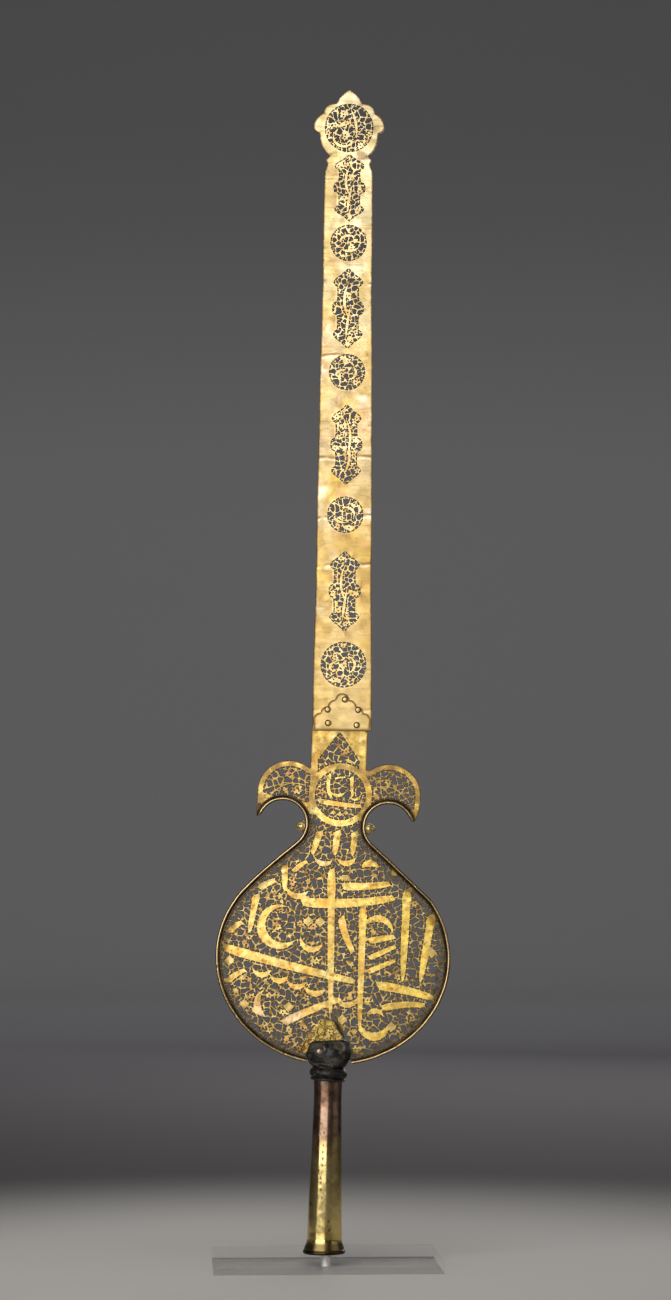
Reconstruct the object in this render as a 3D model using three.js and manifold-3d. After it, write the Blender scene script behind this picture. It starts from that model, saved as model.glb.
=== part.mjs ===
// Processional standard: a pierced gilt sheet with a disc, horns and a long blade, a socket for its carrying
// pole, and the clear foot whose rod holds it upright.
// Millimetres, +Z up. The front faces -Y. The origin is on the underside of the foot, below the socket.

import * as THREE from 'three';
import Module from 'manifold-3d';
import { mergeVertices } from 'three/addons/utils/BufferGeometryUtils.js';

// Clearance between pieces that touch
const fitGap = 0.3;

// Clear foot and its rod. The socket is wider than the rod and stands a little to the left of it.
const footWidth = 272;
const footDepth = 165;
const footThickness = 15;
const footChamfer = 0.8;
const footTurn = 3;
const rodDiameter = 12;
const rodReach = 96;

// Pole socket: radii of the tube at its top, at its waist, above the lip and at the lip
const socketHeight = 215;
const socketTopRadius = 17.4;
const socketWaistRadius = 16.7;
const socketLowRadius = 21.4;
const lipRadius = 25.6;
const lipHeight = 9;
const socketWall = 2.4;
const socketLean = 1.4;
const socketPlay = 2.4;

// Collar round the joint of socket and clasp
const collarRadius = 22.8;
const collarHeight = 15.6;
const collarTilt = 2;
const collarPlay = 0.8;

// Clasp that holds the foot of the disc
const claspNeck = 8.7;
const claspHeight = 31.8;
const claspHalfWidth = 25.4;
const claspDepth = 27;
const slotSpare = 3;
const claspRivetRadius = 2.4;
const dimpleRadius = 3.2;
const dimpleDepth = 1.8;

// Pierced body sheet: disc, neck, horns, ring and tang, all measured from the middle of the disc
const sheetThickness = 2.4;
const bodyLean = 2.2;
const discGrip = 30.1;
const discWidth = 282;
const discHeight = 258;
const shoulderAngle = 34;
const hollowRadius = 27.5;
const hollowOut = 63.5;
const hollowUp = 159.3;
const hollowEntry = 229;
const hollowTip = 14;
const neckShift = -3;
const hornRadius = 38.2;
const hornOut = 60;
const hornUp = 196.5;
const hornBand = 7;
const ringRadius = 38.4;
const ringBand = 8.2;
const ringOut = 1.5;
const ringUp = 195.8;
const tangWidth = 67.2;
const tangShift = -2;
const tangTop = 272.6;
const lapLength = 44;
const arrowheadWidth = 49;

// Rims: channels that clasp the edge of the sheet
const rimWidth = 6.6;
const rimDepth = 7.6;
const rimLip = 6;
const rimGroove = 4.2;
const rimSteps = 20;

// Knobs on the rims at the neck
const budLength = 11;
const budRadius = 5.7;
const budSeat = 0.8;

// Repair sheet behind the cracked foot of the disc
const patchThickness = 1.2;
const crackWidth = 1.3;

// Small square marks between the strokes, corner to corner half
const lozengeHalf = 7;

// Blade
const bladeLength = 769;
const bladeFootWidth = 71;
const bladeNeckWidth = 57;
const bladeLean = 0.7;
const headWidth = 85;
const headStart = 689;
const edgeWander = 0.5;
const cartoucheWidth = 38;
const cartoucheLength = 97.5;
const roundelRadius = 21.4;
const lowRoundelRadius = 27;
const headRoundelRadius = 28.8;

// Cusped plate and rivets over the lap
const plateThickness = 1.6;
const plateWidth = 69;
const plateHeight = 45;
const rivetRadius = 2;
const rivetHeadRadius = 4.4;
const rivetHeadHeight = 1.5;

// Piercing: spacing of the openings, bar left between them and bar left beside a stroke
const discPitch = 18.4;
const finePitch = 14.2;
const web = 2.4;
const strokeWeb = 1.2;
const smallestOpening = 0.2;

const wasm = await Module();
wasm.setup();

const turn = THREE.MathUtils.degToRad;

const gilt = { color: 0xd9b352, roughness: 0.34, metalness: 0.9 };
const paleGilt = { color: 0xdcc98c, roughness: 0.38, metalness: 0.85 };
const darkBrass = { color: 0x5a4322, roughness: 0.4, metalness: 0.85 };
const blackened = { color: 0x1e1b19, roughness: 0.6, metalness: 0.5 };
const copperBrass = { color: 0x8c6a3c, roughness: 0.32, metalness: 0.9 };
const yellowBrass = { color: 0xc79a2b, roughness: 0.4, metalness: 0.85 };
const steel = { color: 0x9a9a96, roughness: 0.35, metalness: 0.9 };
const acrylic = { color: 0xeef4f5, roughness: 0.06, metalness: 0 };

function piece(name, geometry, finish) {
  const mesh = new THREE.Mesh(geometry, new THREE.MeshStandardMaterial(finish));
  mesh.name = name;
  return mesh;
}

// Points of an elliptical arc, from one angle to the other in degrees, either way round
function arc(x, y, radiusX, radiusY, from, to, steps) {
  const points = [];
  for (let i = 0; i <= steps; i += 1) {
    const angle = turn(from + (to - from) * i / steps);
    points.push(new THREE.Vector2(x + radiusX * Math.cos(angle), y + radiusY * Math.sin(angle)));
  }
  return points;
}

function bend(start, control, end, steps) {
  return new THREE.QuadraticBezierCurve(start, control, end).getPoints(steps);
}

const mirrored = (points) => points.map((p) => new THREE.Vector2(-p.x, p.y));

// A prism standing in the XZ plane, from its back face at the given depth towards -Y
function prism(outlines, thickness, back) {
  const shapes = outlines.map((points) => new THREE.Shape(points));
  const geometry = new THREE.ExtrudeGeometry(shapes, { depth: thickness, bevelEnabled: false });
  geometry.rotateX(Math.PI / 2);
  geometry.translate(0, back, 0);
  return geometry;
}

// A flat sheet with openings cut through it, one set of openings after another
function standingSheet(outline, cuts, thickness, back) {
  let sheet = solidOf(prism([outline], thickness, back));
  cuts.filter((openings) => openings.length > 0).forEach((openings) => {
    sheet = sheet.subtract(solidOf(prism(openings, thickness + 2, back + 1)));
  });
  return geometryOf(sheet);
}

// A turned form, its axis along Z
function turned(profile, segments) {
  const points = profile.map(([radius, height]) => new THREE.Vector2(radius, height));
  const geometry = new THREE.LatheGeometry(points, segments);
  geometry.rotateX(Math.PI / 2);
  return geometry;
}

function solidOf(geometry) {
  const bare = geometry.clone();
  bare.deleteAttribute('normal');
  bare.deleteAttribute('uv');
  const merged = mergeVertices(bare, 1e-4);
  return new wasm.Manifold(new wasm.Mesh({
    numProp: 3,
    vertProperties: new Float32Array(merged.attributes.position.array),
    triVerts: new Uint32Array(merged.index.array),
  }));
}

function geometryOf(solid) {
  const mesh = solid.getMesh();
  const geometry = new THREE.BufferGeometry();
  geometry.setAttribute('position', new THREE.BufferAttribute(mesh.vertProperties, 3));
  geometry.setIndex(new THREE.BufferAttribute(mesh.triVerts, 1));
  geometry.computeVertexNormals();
  return geometry;
}

function distanceToSegment(p, a, b) {
  const along = b.clone().sub(a);
  const share = THREE.MathUtils.clamp(p.clone().sub(a).dot(along) / along.lengthSq(), 0, 1);
  return { far: p.distanceTo(a.clone().addScaledVector(along, share)), share };
}

// How far a point lies inside a closed outline; negative outside
function depthInside(p, outline) {
  let nearest = Infinity;
  let inside = false;
  outline.forEach((a, i) => {
    const b = outline[(i + 1) % outline.length];
    nearest = Math.min(nearest, distanceToSegment(p, a, b).far);
    if ((a.y > p.y) !== (b.y > p.y) && p.x < a.x + (b.x - a.x) * (p.y - a.y) / (b.y - a.y)) inside = !inside;
  });
  return inside ? nearest : -nearest;
}

// A stroke is a run of points, each with the half width of the stroke there
function distanceToStroke(p, stroke) {
  let nearest = Infinity;
  for (let i = 1; i < stroke.length; i += 1) {
    const hit = distanceToSegment(p, stroke[i - 1].at, stroke[i].at);
    const half = THREE.MathUtils.lerp(stroke[i - 1].half, stroke[i].half, hit.share);
    nearest = Math.min(nearest, hit.far - half);
  }
  return nearest;
}

function straightStroke(x0, y0, x1, y1, half0, half1) {
  return [
    { at: new THREE.Vector2(x0, y0), half: half0 },
    { at: new THREE.Vector2(x1, y1), half: half1 },
  ];
}

// A crescent, fullest in its middle and fine at both ends
function crescent(x, y, radius, from, to, half) {
  const points = arc(x, y, radius, radius, from, to, 8);
  return points.map((at, i) => ({ at, half: half * (0.25 + 0.75 * Math.sin(Math.PI * i / 8)) }));
}

function distanceToLozenge(p, lozenge) {
  return (Math.abs(p.x - lozenge.x) + Math.abs(p.y - lozenge.y) - lozenge.half) * Math.SQRT1_2;
}

// Openings on a staggered grid, each a cell of the grid drawn in by half a bar. A cell's corners go out from
// its middle until they meet what the field keeps solid.
function piercings(clear, box, pitch, cell) {
  const rowStep = pitch * cell.rowShare;
  const columns = Math.ceil((box.max.x - box.min.x) / pitch / 2) + 1;
  const rows = Math.ceil((box.max.y - box.min.y) / rowStep / 2) + 1;
  const middle = box.getCenter(new THREE.Vector2());
  const holes = [];
  for (let row = -rows; row <= rows; row += 1) {
    for (let column = -columns; column <= columns; column += 1) {
      const shift = row % 2 === 0 ? 0 : pitch / 2;
      const centre = new THREE.Vector2(middle.x + column * pitch + shift, middle.y + row * rowStep);
      if (clear(centre) < 1) continue;
      const corners = cell.corners.map(([x, y]) => {
        const way = new THREE.Vector2(x, y).multiplyScalar(pitch);
        const reach = way.length() - web * cell.webShare;
        const step = reach / 12;
        way.normalize();
        const at = (radius) => centre.clone().addScaledVector(way, radius);
        let radius = step;
        while (radius < reach - step / 2 && clear(at(radius + step)) >= 0) radius += step;
        return at(radius);
      });
      if (Math.abs(THREE.ShapeUtils.area(corners)) > pitch * rowStep * smallestOpening) holes.push(corners);
    }
  }
  return holes;
}

// Cells of the two grids: corners in shares of the pitch, clockwise from the top
const hexagonCell = {
  rowShare: Math.sqrt(3) / 2,
  webShare: 1 / Math.sqrt(3),
  corners: [0, 60, 120, 180, 240, 300].map((angle) => {
    const reach = 1 / Math.sqrt(3);
    return [reach * Math.sin(turn(angle)), reach * Math.cos(turn(angle))];
  }),
};
const lozengeCell = {
  rowShare: 0.66,
  webShare: 0.8,
  corners: [[0, 0.66], [0.5, 0], [0, -0.66], [-0.5, 0]],
};

// A pierced flower: kite-shaped openings round a solid eye
function rosette(x, y, radius, petals, start) {
  const eye = radius * 0.26;
  const half = 180 / petals;
  const openings = [];
  for (let i = 0; i < petals; i += 1) {
    const angle = start + i * 2 * half;
    const side = turn(half) - Math.asin(web / 2 / (radius * 0.74));
    const kite = [[eye, 0], [radius * 0.74, side], [radius, 0], [radius * 0.74, -side]];
    openings.push(kite.map(([reach, away]) => new THREE.Vector2(
      x + reach * Math.cos(turn(angle) + away),
      y + reach * Math.sin(turn(angle) + away),
    )));
  }
  return openings;
}

const boxOf = (points) => new THREE.Box2().setFromPoints(points);

// Body outlines

const discHalfWidth = discWidth / 2;
const discHalfHeight = discHeight / 2;

// Middle of the disc above the top of the tube: its foot is gripped in the clasp
const discUp = claspNeck + claspHeight - discGrip + discHalfHeight;

// Edge of disc, flank, neck and hollow on one side, at a given depth inside the silhouette. It starts below,
// beside the clasp, and ends at the tip of the horn. Side is 1 to the right and -1 to the left.
function rimEdge(side, inset, startOut, steps) {
  const halfWidth = discHalfWidth - inset;
  const halfHeight = discHalfHeight - inset;
  const startAngle = -90 + THREE.MathUtils.radToDeg(Math.asin(startOut / halfWidth));
  const hollowCentre = new THREE.Vector2(hollowOut + side * neckShift, hollowUp);
  const disc = arc(0, 0, halfWidth, halfHeight, startAngle, shoulderAngle, steps);
  const radius = hollowRadius + inset;
  const hollowSteps = Math.round(steps * 0.8);
  const hollow = arc(hollowCentre.x, hollowCentre.y, radius, radius, hollowEntry, hollowTip, hollowSteps);
  const shoulder = disc[disc.length - 1];
  const entry = hollow[0];
  const rise = new THREE.Vector2(
    -halfWidth * Math.sin(turn(shoulderAngle)),
    halfHeight * Math.cos(turn(shoulderAngle)),
  );
  const fall = new THREE.Vector2(-Math.sin(turn(hollowEntry)), Math.cos(turn(hollowEntry)));
  const across = entry.clone().sub(shoulder).cross(fall) / rise.cross(fall);
  const control = shoulder.clone().addScaledVector(rise, across);
  const flank = bend(shoulder, control, entry, 4).slice(1, -1);
  const points = [...disc, ...flank, ...hollow];
  return side < 0 ? mirrored(points) : points;
}

// Outer edge of a horn, from its tip to the foot of the tang
function hornEdge(side, tip) {
  const start = new THREE.Vector2(side * tip.x, tip.y);
  const crown = arc(hornOut, hornUp, hornRadius, hornRadius, -5, 128, 12);
  const control = new THREE.Vector2(hornOut + hornRadius, (tip.y + crown[0].y) / 2);
  const points = [...bend(start, control, crown[0], 3).slice(1, -1), ...crown];
  return side < 0 ? mirrored(points) : points;
}

const sheetInset = rimWidth - rimGroove + rimWidth * 0.36 + fitGap;
const sheetFootOut = 18;
const rimStartOut = claspHalfWidth + 1.4;
const tangHalf = tangWidth / 2;

function bodySide(side) {
  const edge = rimEdge(side, sheetInset, sheetFootOut, rimSteps);
  const horn = hornEdge(side, edge[edge.length - 1]);
  const lap = tangHalf - 2;
  const tangX = side * tangHalf + tangShift;
  const lapX = side * lap + tangShift;
  return [
    ...edge,
    ...horn,
    new THREE.Vector2(tangX, hornUp + hornRadius * Math.sin(turn(128))),
    new THREE.Vector2(tangX, tangTop - fitGap),
    new THREE.Vector2(lapX, tangTop),
    new THREE.Vector2(lapX, tangTop + lapLength),
  ];
}

const bodyOutline = [...bodySide(1), ...bodySide(-1).reverse()];

// Bold strokes in rows on the disc. Places are hundredths of the half width and half height of the disc.
const unitX = discHalfWidth / 100;
const unitY = discHalfHeight / 100;
const bar = (x0, y0, x1, y1, half0, half1) => (
  straightStroke(x0 * unitX, y0 * unitY, x1 * unitX, y1 * unitY, half0, half1));
const moon = (x, y, radius, from, to, half) => crescent(x * unitX, y * unitY, radius * unitX, from, to, half);

const uprights = [
  bar(-15, 117, -20, 92, 4.2, 2.6),
  bar(1, 118, -1, 91, 4.6, 3.4),
  bar(14, 118, 12, 92, 4.4, 2.8),
  bar(-4, 84, 0, -56, 5.4, 3.2),
  bar(-44, 86, -43, 58, 4.6, 3),
  bar(-68, 64, -70, 22, 4.8, 3.2),
  bar(22, 50, 24, -68, 4.8, 3.6),
  bar(60, 66, 59, -20, 5.6, 3.4),
  bar(81, 40, 74, -20, 5.2, 3),
];
const sweeps = [
  bar(-93, 5, 21, -22, 5.2, 5.2),
  bar(-28, 50, 49, 58, 6, 4.4),
  bar(5, 68, 37, 88, 3.6, 5),
  bar(39, -24, 85, -33, 4.6, 5),
  bar(30, 1, 53, 14, 3, 3.2),
  bar(29, -12, 52, 2, 3, 3.2),
];
const moons = [
  moon(-45, 28, 17, 60, 300, 5.6),
  moon(-44, -46, 26, 195, 330, 5.2),
  moon(42, -60, 14, 170, 380, 5.4),
  moon(36, 24, 13, -40, 150, 4.6),
];
const dashes = [0, 1, 2, 3, 4].map((i) => bar(i * 11 - 78, -i * 3 - 12, i * 11 - 72, -i * 3 - 24, 3.4, 2.4));
const lozengePlaces = [
  [-22, 34], [-13, 32], [-74, -46], [-64, -52], [-33, -50], [10, -70], [-14, -66], [50, -66], [84, 10],
];
const lozenges = lozengePlaces.map(([x, y]) => ({ x: x * unitX, y: y * unitY, half: lozengeHalf }));

const ringCentre = new THREE.Vector2(ringOut, ringUp);
const ringInner = ringRadius - ringBand;
const ringStrokes = [
  straightStroke(ringOut - ringInner * 0.95, ringUp - 10, ringOut + ringInner * 0.9, ringUp - 15, 3, 3),
  straightStroke(ringOut - 11, ringUp + 24, ringOut - 13, ringUp - 2, 2.6, 2),
  straightStroke(ringOut + 14, ringUp + 20, ringOut + 13, ringUp - 4, 2.6, 2),
];

const hornStrokes = [-1, 1].map((side) => (
  straightStroke(side * (hornOut - 16), hornUp + 6, side * (hornOut + 24), hornUp + 2, 1.6, 1.6)));

// The crack that runs down past the clasp
const crackPath = [[0, -53], [9.5, -64], [14, -74], [18, -86], [17.4, -92]]
  .map(([x, y]) => new THREE.Vector2(x * unitX, y * unitY));

function crackOutline() {
  const half = crackWidth / 2;
  const down = crackPath.map((p) => new THREE.Vector2(p.x - half, p.y));
  const up = crackPath.map((p) => new THREE.Vector2(p.x + half, p.y)).reverse();
  return [...down, ...up];
}

const crackStroke = crackPath.map((at) => ({ at, half: crackWidth }));

const rimClear = [1, -1].map((side) => rimEdge(side, rimWidth, sheetFootOut, rimSteps));
const hornLines = [1, -1].map((side) => {
  const edge = rimEdge(1, sheetInset, sheetFootOut, rimSteps);
  return hornEdge(side, edge[edge.length - 1]);
});

function distanceToLine(p, line) {
  let nearest = Infinity;
  for (let i = 1; i < line.length; i += 1) {
    nearest = Math.min(nearest, distanceToSegment(p, line[i - 1], line[i]).far);
  }
  return nearest;
}

// Pierced arrowhead on the tang, from the ring up to the lap
const arrowhead = [
  new THREE.Vector2(tangShift - arrowheadWidth / 2, ringUp),
  new THREE.Vector2(tangShift + arrowheadWidth / 2, ringUp),
  new THREE.Vector2(tangShift + arrowheadWidth / 2, ringUp + ringRadius * 1.08),
  new THREE.Vector2(tangShift, tangTop - 1),
  new THREE.Vector2(tangShift - arrowheadWidth / 2, ringUp + ringRadius * 1.08),
];

const claspTopUp = claspNeck + claspHeight - discUp;

function clearOf(p, room, strokes) {
  return strokes.reduce((least, stroke) => Math.min(least, distanceToStroke(p, stroke) - strokeWeb), room);
}

// Room for an opening at a point of each pierced field of the body sheet, negative where there is none
function ringField(p) {
  return clearOf(p, ringInner - strokeWeb - p.distanceTo(ringCentre), ringStrokes);
}

function arrowheadField(p) {
  const room = p.distanceTo(ringCentre) - ringRadius - strokeWeb;
  return Math.min(room, depthInside(p, arrowhead) - strokeWeb);
}

function edgeField(p) {
  let room = Math.min(depthInside(p, bodyOutline), p.distanceTo(ringCentre) - ringRadius) - strokeWeb;
  rimClear.forEach((line) => { room = Math.min(room, distanceToLine(p, line) - strokeWeb); });
  hornLines.forEach((line) => { room = Math.min(room, distanceToLine(p, line) - hornBand); });
  return room;
}

function hornField(p) {
  const room = Math.min(edgeField(p), p.y - hollowUp - web / 2);
  return clearOf(p, Math.min(room, Math.abs(p.x - tangShift) - tangHalf), hornStrokes);
}

function discField(p) {
  const besideClasp = Math.abs(p.x) - claspHalfWidth - strokeWeb;
  const aboveClasp = p.y - claspTopUp - strokeWeb;
  const room = Math.min(edgeField(p), Math.max(besideClasp, aboveClasp), hollowUp - p.y - web / 2);
  const besideLozenges = lozenges.map((lozenge) => distanceToLozenge(p, lozenge) - strokeWeb);
  return clearOf(p, Math.min(room, ...besideLozenges), [...uprights, ...sweeps, ...moons, ...dashes, crackStroke]);
}

// Blade, measured up from its foot along its own axis

const ringHole = (x, y, radius, sides) => arc(x, y, radius, radius, 0, 360 * (sides - 1) / sides, sides - 1);

const rivetPlaces = [[0.05, 0.83], [-0.25, 0.56], [0.28, 0.56], [-0.24, 0.2], [0.26, 0.15]]
  .map(([x, y]) => new THREE.Vector2(x * plateWidth, y * plateHeight));
const rivetBore = rivetRadius + fitGap;

const bladeHalf = (up) => THREE.MathUtils.lerp(bladeFootWidth, bladeNeckWidth, up / headStart) / 2
  + edgeWander * Math.sin(up / 37) * Math.sin(up / 113);

// Lobed finial head. Corners are shares of the half width of the head and of its height.
function headEdge() {
  const half = headWidth / 2;
  const height = bladeLength - headStart;
  const at = (x, y) => new THREE.Vector2(x * half, headStart + y * height);
  return [
    at(0.67, -0.23),
    at(0.6, -0.12),
    at(0.65, -0.06),
    at(0.54, 0),
    ...bend(at(0.54, 0), at(0.82, 0.1), at(0.83, 0.34), 4).slice(1),
    ...bend(at(0.83, 0.34), at(1.02, 0.36), at(1, 0.46), 2).slice(1),
    ...bend(at(1, 0.46), at(0.93, 0.6), at(0.72, 0.64), 3).slice(1),
    ...bend(at(0.72, 0.64), at(0.72, 0.78), at(0.36, 0.79), 4).slice(1),
    ...bend(at(0.36, 0.79), at(0.3, 0.9), at(0, 1), 4).slice(1),
  ];
}

function bladeOutline() {
  const side = [];
  const steps = 12;
  for (let i = 0; i <= steps; i += 1) {
    const up = headStart * 0.965 * i / steps;
    side.push(new THREE.Vector2(bladeHalf(up), up));
  }
  side.push(...headEdge());
  return [...side, ...mirrored(side.slice(0, -1)).reverse()];
}

// Middles of the pierced panels, as shares of the height where the head starts
const cartouchePlaces = [0.243, 0.498, 0.735, 0.945];
const roundelPlaces = [0.376, 0.624, 0.849];
const lowRoundelPlace = 0.115;
const topCartoucheShare = 0.83;

// A cartouche: a wide flower in the middle and a smaller one filling each end
function cartouche(middle, length) {
  const flower = cartoucheWidth / 2;
  const endFlower = Math.min(flower * 0.78, (length / 2 - flower) / 2);
  const openings = rosette(0, middle, flower, 6, 0);
  [-1, 1].forEach((way) => {
    openings.push(...rosette(0, middle + way * (length / 2 - endFlower), endFlower, 5, way * 90));
  });
  return openings;
}

function bladeGeometry() {
  const openings = [
    ...cartouchePlaces.flatMap((share, i) => {
      const isTop = i === cartouchePlaces.length - 1;
      return cartouche(share * headStart, isTop ? cartoucheLength * topCartoucheShare : cartoucheLength);
    }),
    ...roundelPlaces.flatMap((share) => rosette(0, share * headStart, roundelRadius, 8, 90)),
    ...rosette(0, lowRoundelPlace * headStart, lowRoundelRadius, 8, 90),
    ...rosette(0, headStart + (bladeLength - headStart) * 0.42, headRoundelRadius, 9, 90),
  ];
  const bores = rivetPlaces.map((p) => ringHole(p.x, p.y, rivetBore, 6));
  return standingSheet(bladeOutline(), [openings, bores], sheetThickness, 0);
}

// Cusped joining plate: two sloping sides of round lobes over a straight foot
function plateOutline() {
  const half = plateWidth / 2;
  const lobes = 4;
  const corner = new THREE.Vector2(half, plateHeight * 0.3);
  const apex = new THREE.Vector2(0, plateHeight);
  const side = [new THREE.Vector2(half - 1, 0), corner];
  for (let i = 0; i < lobes; i += 1) {
    const start = corner.clone().lerp(apex, i / lobes);
    const end = corner.clone().lerp(apex, (i + 1) / lobes);
    const swell = new THREE.Vector2(1, 1.2).setLength(3.6).add(start.clone().lerp(end, 0.5));
    side.push(...bend(start, swell, end, 3).slice(1));
  }
  return [...side, ...mirrored(side.slice(0, -1)).reverse()];
}

// Rivet along Y: domed head in front, shank through the sheets, small peened end behind
function rivetGeometry(front, back, shank, head, headHeight) {
  const profile = [
    [0, -back - headHeight * 0.6],
    [head * 0.72, -back - headHeight * 0.4],
    [head * 0.8, -back],
    [shank, -back],
    [shank, front],
    [head, front],
    [head * 0.7, front + headHeight * 0.8],
    [0, front + headHeight],
  ];
  const geometry = turned(profile, 7);
  geometry.rotateX(Math.PI / 2);
  return geometry;
}

// Upper works: everything above the socket, in one leaning frame with its origin at the top of the tube

function claspGeometry() {
  const base = claspNeck;
  const neck = socketTopRadius - fitGap;
  const seat = fitGap + socketTopRadius * Math.tan(turn(bodyLean));
  const profile = [
    [0, seat],
    [neck, seat],
    [neck, base],
    [claspHalfWidth * 0.75, base + claspHeight * 0.02],
    [claspHalfWidth * 0.91, base + claspHeight * 0.2],
    [claspHalfWidth, base + claspHeight * 0.42],
    [claspHalfWidth * 0.97, base + claspHeight * 0.72],
    [claspHalfWidth * 0.78, base + claspHeight * 0.97],
    [0, base + claspHeight],
  ];
  const geometry = turned(profile, 16);
  const flat = claspDepth / 2 / claspHalfWidth;
  const place = geometry.attributes.position;
  for (let i = 0; i < place.count; i += 1) {
    const share = THREE.MathUtils.clamp((place.getZ(i) - base) / (claspHeight * 0.42), 0, 1);
    place.setY(i, place.getY(i) * THREE.MathUtils.lerp(1, flat, share));
  }
  return geometry;
}

const claspSlotDepth = discGrip - sheetInset + 2 * fitGap + slotSpare;
const slotFront = sheetThickness / 2 + fitGap;
const slotBack = sheetThickness / 2 + patchThickness + 2 * fitGap;
const claspRivetPlace = new THREE.Vector2(-claspHalfWidth * 0.46, claspTopUp - claspHeight * 0.42);

function slottedClasp() {
  const slot = new THREE.BoxGeometry(claspHalfWidth * 4, slotFront + slotBack, claspSlotDepth * 2);
  slot.translate(0, (slotBack - slotFront) / 2, claspNeck + claspHeight);
  const boreRadius = claspRivetRadius + fitGap;
  const bore = new THREE.CylinderGeometry(boreRadius, boreRadius, claspDepth * 2, 8);
  bore.translate(claspRivetPlace.x, 0, claspRivetPlace.y + discUp);
  const dimple = new THREE.CylinderGeometry(dimpleRadius / 2, dimpleRadius, dimpleDepth * 2, 8);
  dimple.translate(claspHalfWidth * 0.42, -claspDepth / 2, claspRivetPlace.y + discUp);
  const cut = solidOf(slot).add(solidOf(bore)).add(solidOf(dimple));
  return geometryOf(solidOf(claspGeometry()).subtract(cut));
}

function collarGeometry() {
  const bore = socketTopRadius + collarPlay;
  const half = collarHeight / 2;
  return turned([
    [bore, -half],
    [collarRadius - 2.4, -half],
    [collarRadius - 1.4, -half * 0.72],
    [collarRadius - 2.2, -half * 0.5],
    [collarRadius - 0.3, -half * 0.2],
    [collarRadius, half * 0.3],
    [collarRadius - 1.4, half * 0.75],
    [collarRadius - 3, half],
    [bore, half],
    [bore, -half],
  ], 18);
}

// A path with one station at each of its points, so that tight bends keep their short steps
class StationPath extends THREE.Curve {
  constructor(stations) {
    super();
    this.stations = stations;
  }

  getPoint(t) {
    const place = t * (this.stations.length - 1);
    const index = Math.min(Math.floor(place), this.stations.length - 2);
    return this.stations[index].clone().lerp(this.stations[index + 1], place - index);
  }

  getPointAt(u) {
    return this.getPoint(u);
  }

  getTangentAt(u) {
    const stride = 0.5 / (this.stations.length - 1);
    const ahead = this.getPoint(Math.min(u + stride, 1));
    return ahead.sub(this.getPoint(Math.max(u - stride, 0))).normalize();
  }
}

function rimGeometry(side) {
  const middle = rimEdge(side, rimWidth / 2, rimStartOut, rimSteps);
  const path = new StationPath(middle.map((p) => new THREE.Vector3(p.x, 0, p.y)));
  const half = rimWidth / 2;
  const deep = rimDepth / 2;
  const section = [
    [-rimLip / 2, -half],
    [-deep, half * 0.1],
    [-deep * 0.45, half],
    [deep * 0.45, half],
    [deep, half * 0.1],
    [rimLip / 2, -half],
    [0, -half + rimGroove],
  ];
  const shape = new THREE.Shape(section.map(([x, y]) => new THREE.Vector2(x, side * y)));
  const steps = middle.length - 1;
  return new THREE.ExtrudeGeometry(shape, { steps, bevelEnabled: false, extrudePath: path });
}

function budGeometry(side) {
  const geometry = turned([
    [0, 0],
    [budRadius * 0.5, 0],
    [budRadius, budLength * 0.38],
    [budRadius * 0.72, budLength * 0.7],
    [0, budLength],
  ], 10);
  geometry.rotateY(side * Math.PI / 2);
  geometry.translate(side * (hollowOut - hollowRadius + budSeat) + neckShift, 0, hollowUp - 3);
  return geometry;
}

function patchGeometry() {
  const left = -26 * unitX;
  const right = 11 * unitX;
  const low = -90 * unitY;
  const outline = [
    new THREE.Vector2(left, low),
    new THREE.Vector2(right, low),
    new THREE.Vector2(right + 2, -74 * unitY),
    new THREE.Vector2(9 * unitX, -60 * unitY),
    new THREE.Vector2(-9 * unitX, -57 * unitY),
    new THREE.Vector2(left * 0.7, -72 * unitY),
    new THREE.Vector2(left, -82 * unitY),
  ];
  const hole = ringHole(claspRivetPlace.x, claspRivetPlace.y, claspRivetRadius + fitGap, 8);
  return standingSheet(outline, [[hole]], patchThickness, sheetThickness / 2 + fitGap + patchThickness);
}

// From the blade's own frame to that of the body sheet
const lapTurn = turn(bodyLean - bladeLean);
const lapPlace = new THREE.Vector2(0.3, tangTop);
const onBody = (p) => p.clone().rotateAround(new THREE.Vector2(), lapTurn).add(lapPlace);

function bodyGeometry() {
  const ringBox = boxOf(ringHole(ringOut, ringUp, ringRadius, 8));
  const hornBox = boxOf([...hornLines[0], ...hornLines[1]]);
  const discBox = boxOf(rimClear.flat());
  const openings = [
    ...piercings(discField, discBox, discPitch, hexagonCell),
    ...piercings(hornField, hornBox, finePitch, lozengeCell),
    ...piercings(ringField, ringBox, finePitch, lozengeCell),
    ...piercings(arrowheadField, boxOf(arrowhead), finePitch, lozengeCell),
  ];
  const bores = rivetPlaces.map(onBody).map((at) => ringHole(at.x, at.y, rivetBore, 6));
  bores.push(ringHole(claspRivetPlace.x, claspRivetPlace.y, claspRivetRadius + fitGap, 8));
  return standingSheet(bodyOutline, [openings, bores, [crackOutline()]], sheetThickness, sheetThickness / 2);
}

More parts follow.
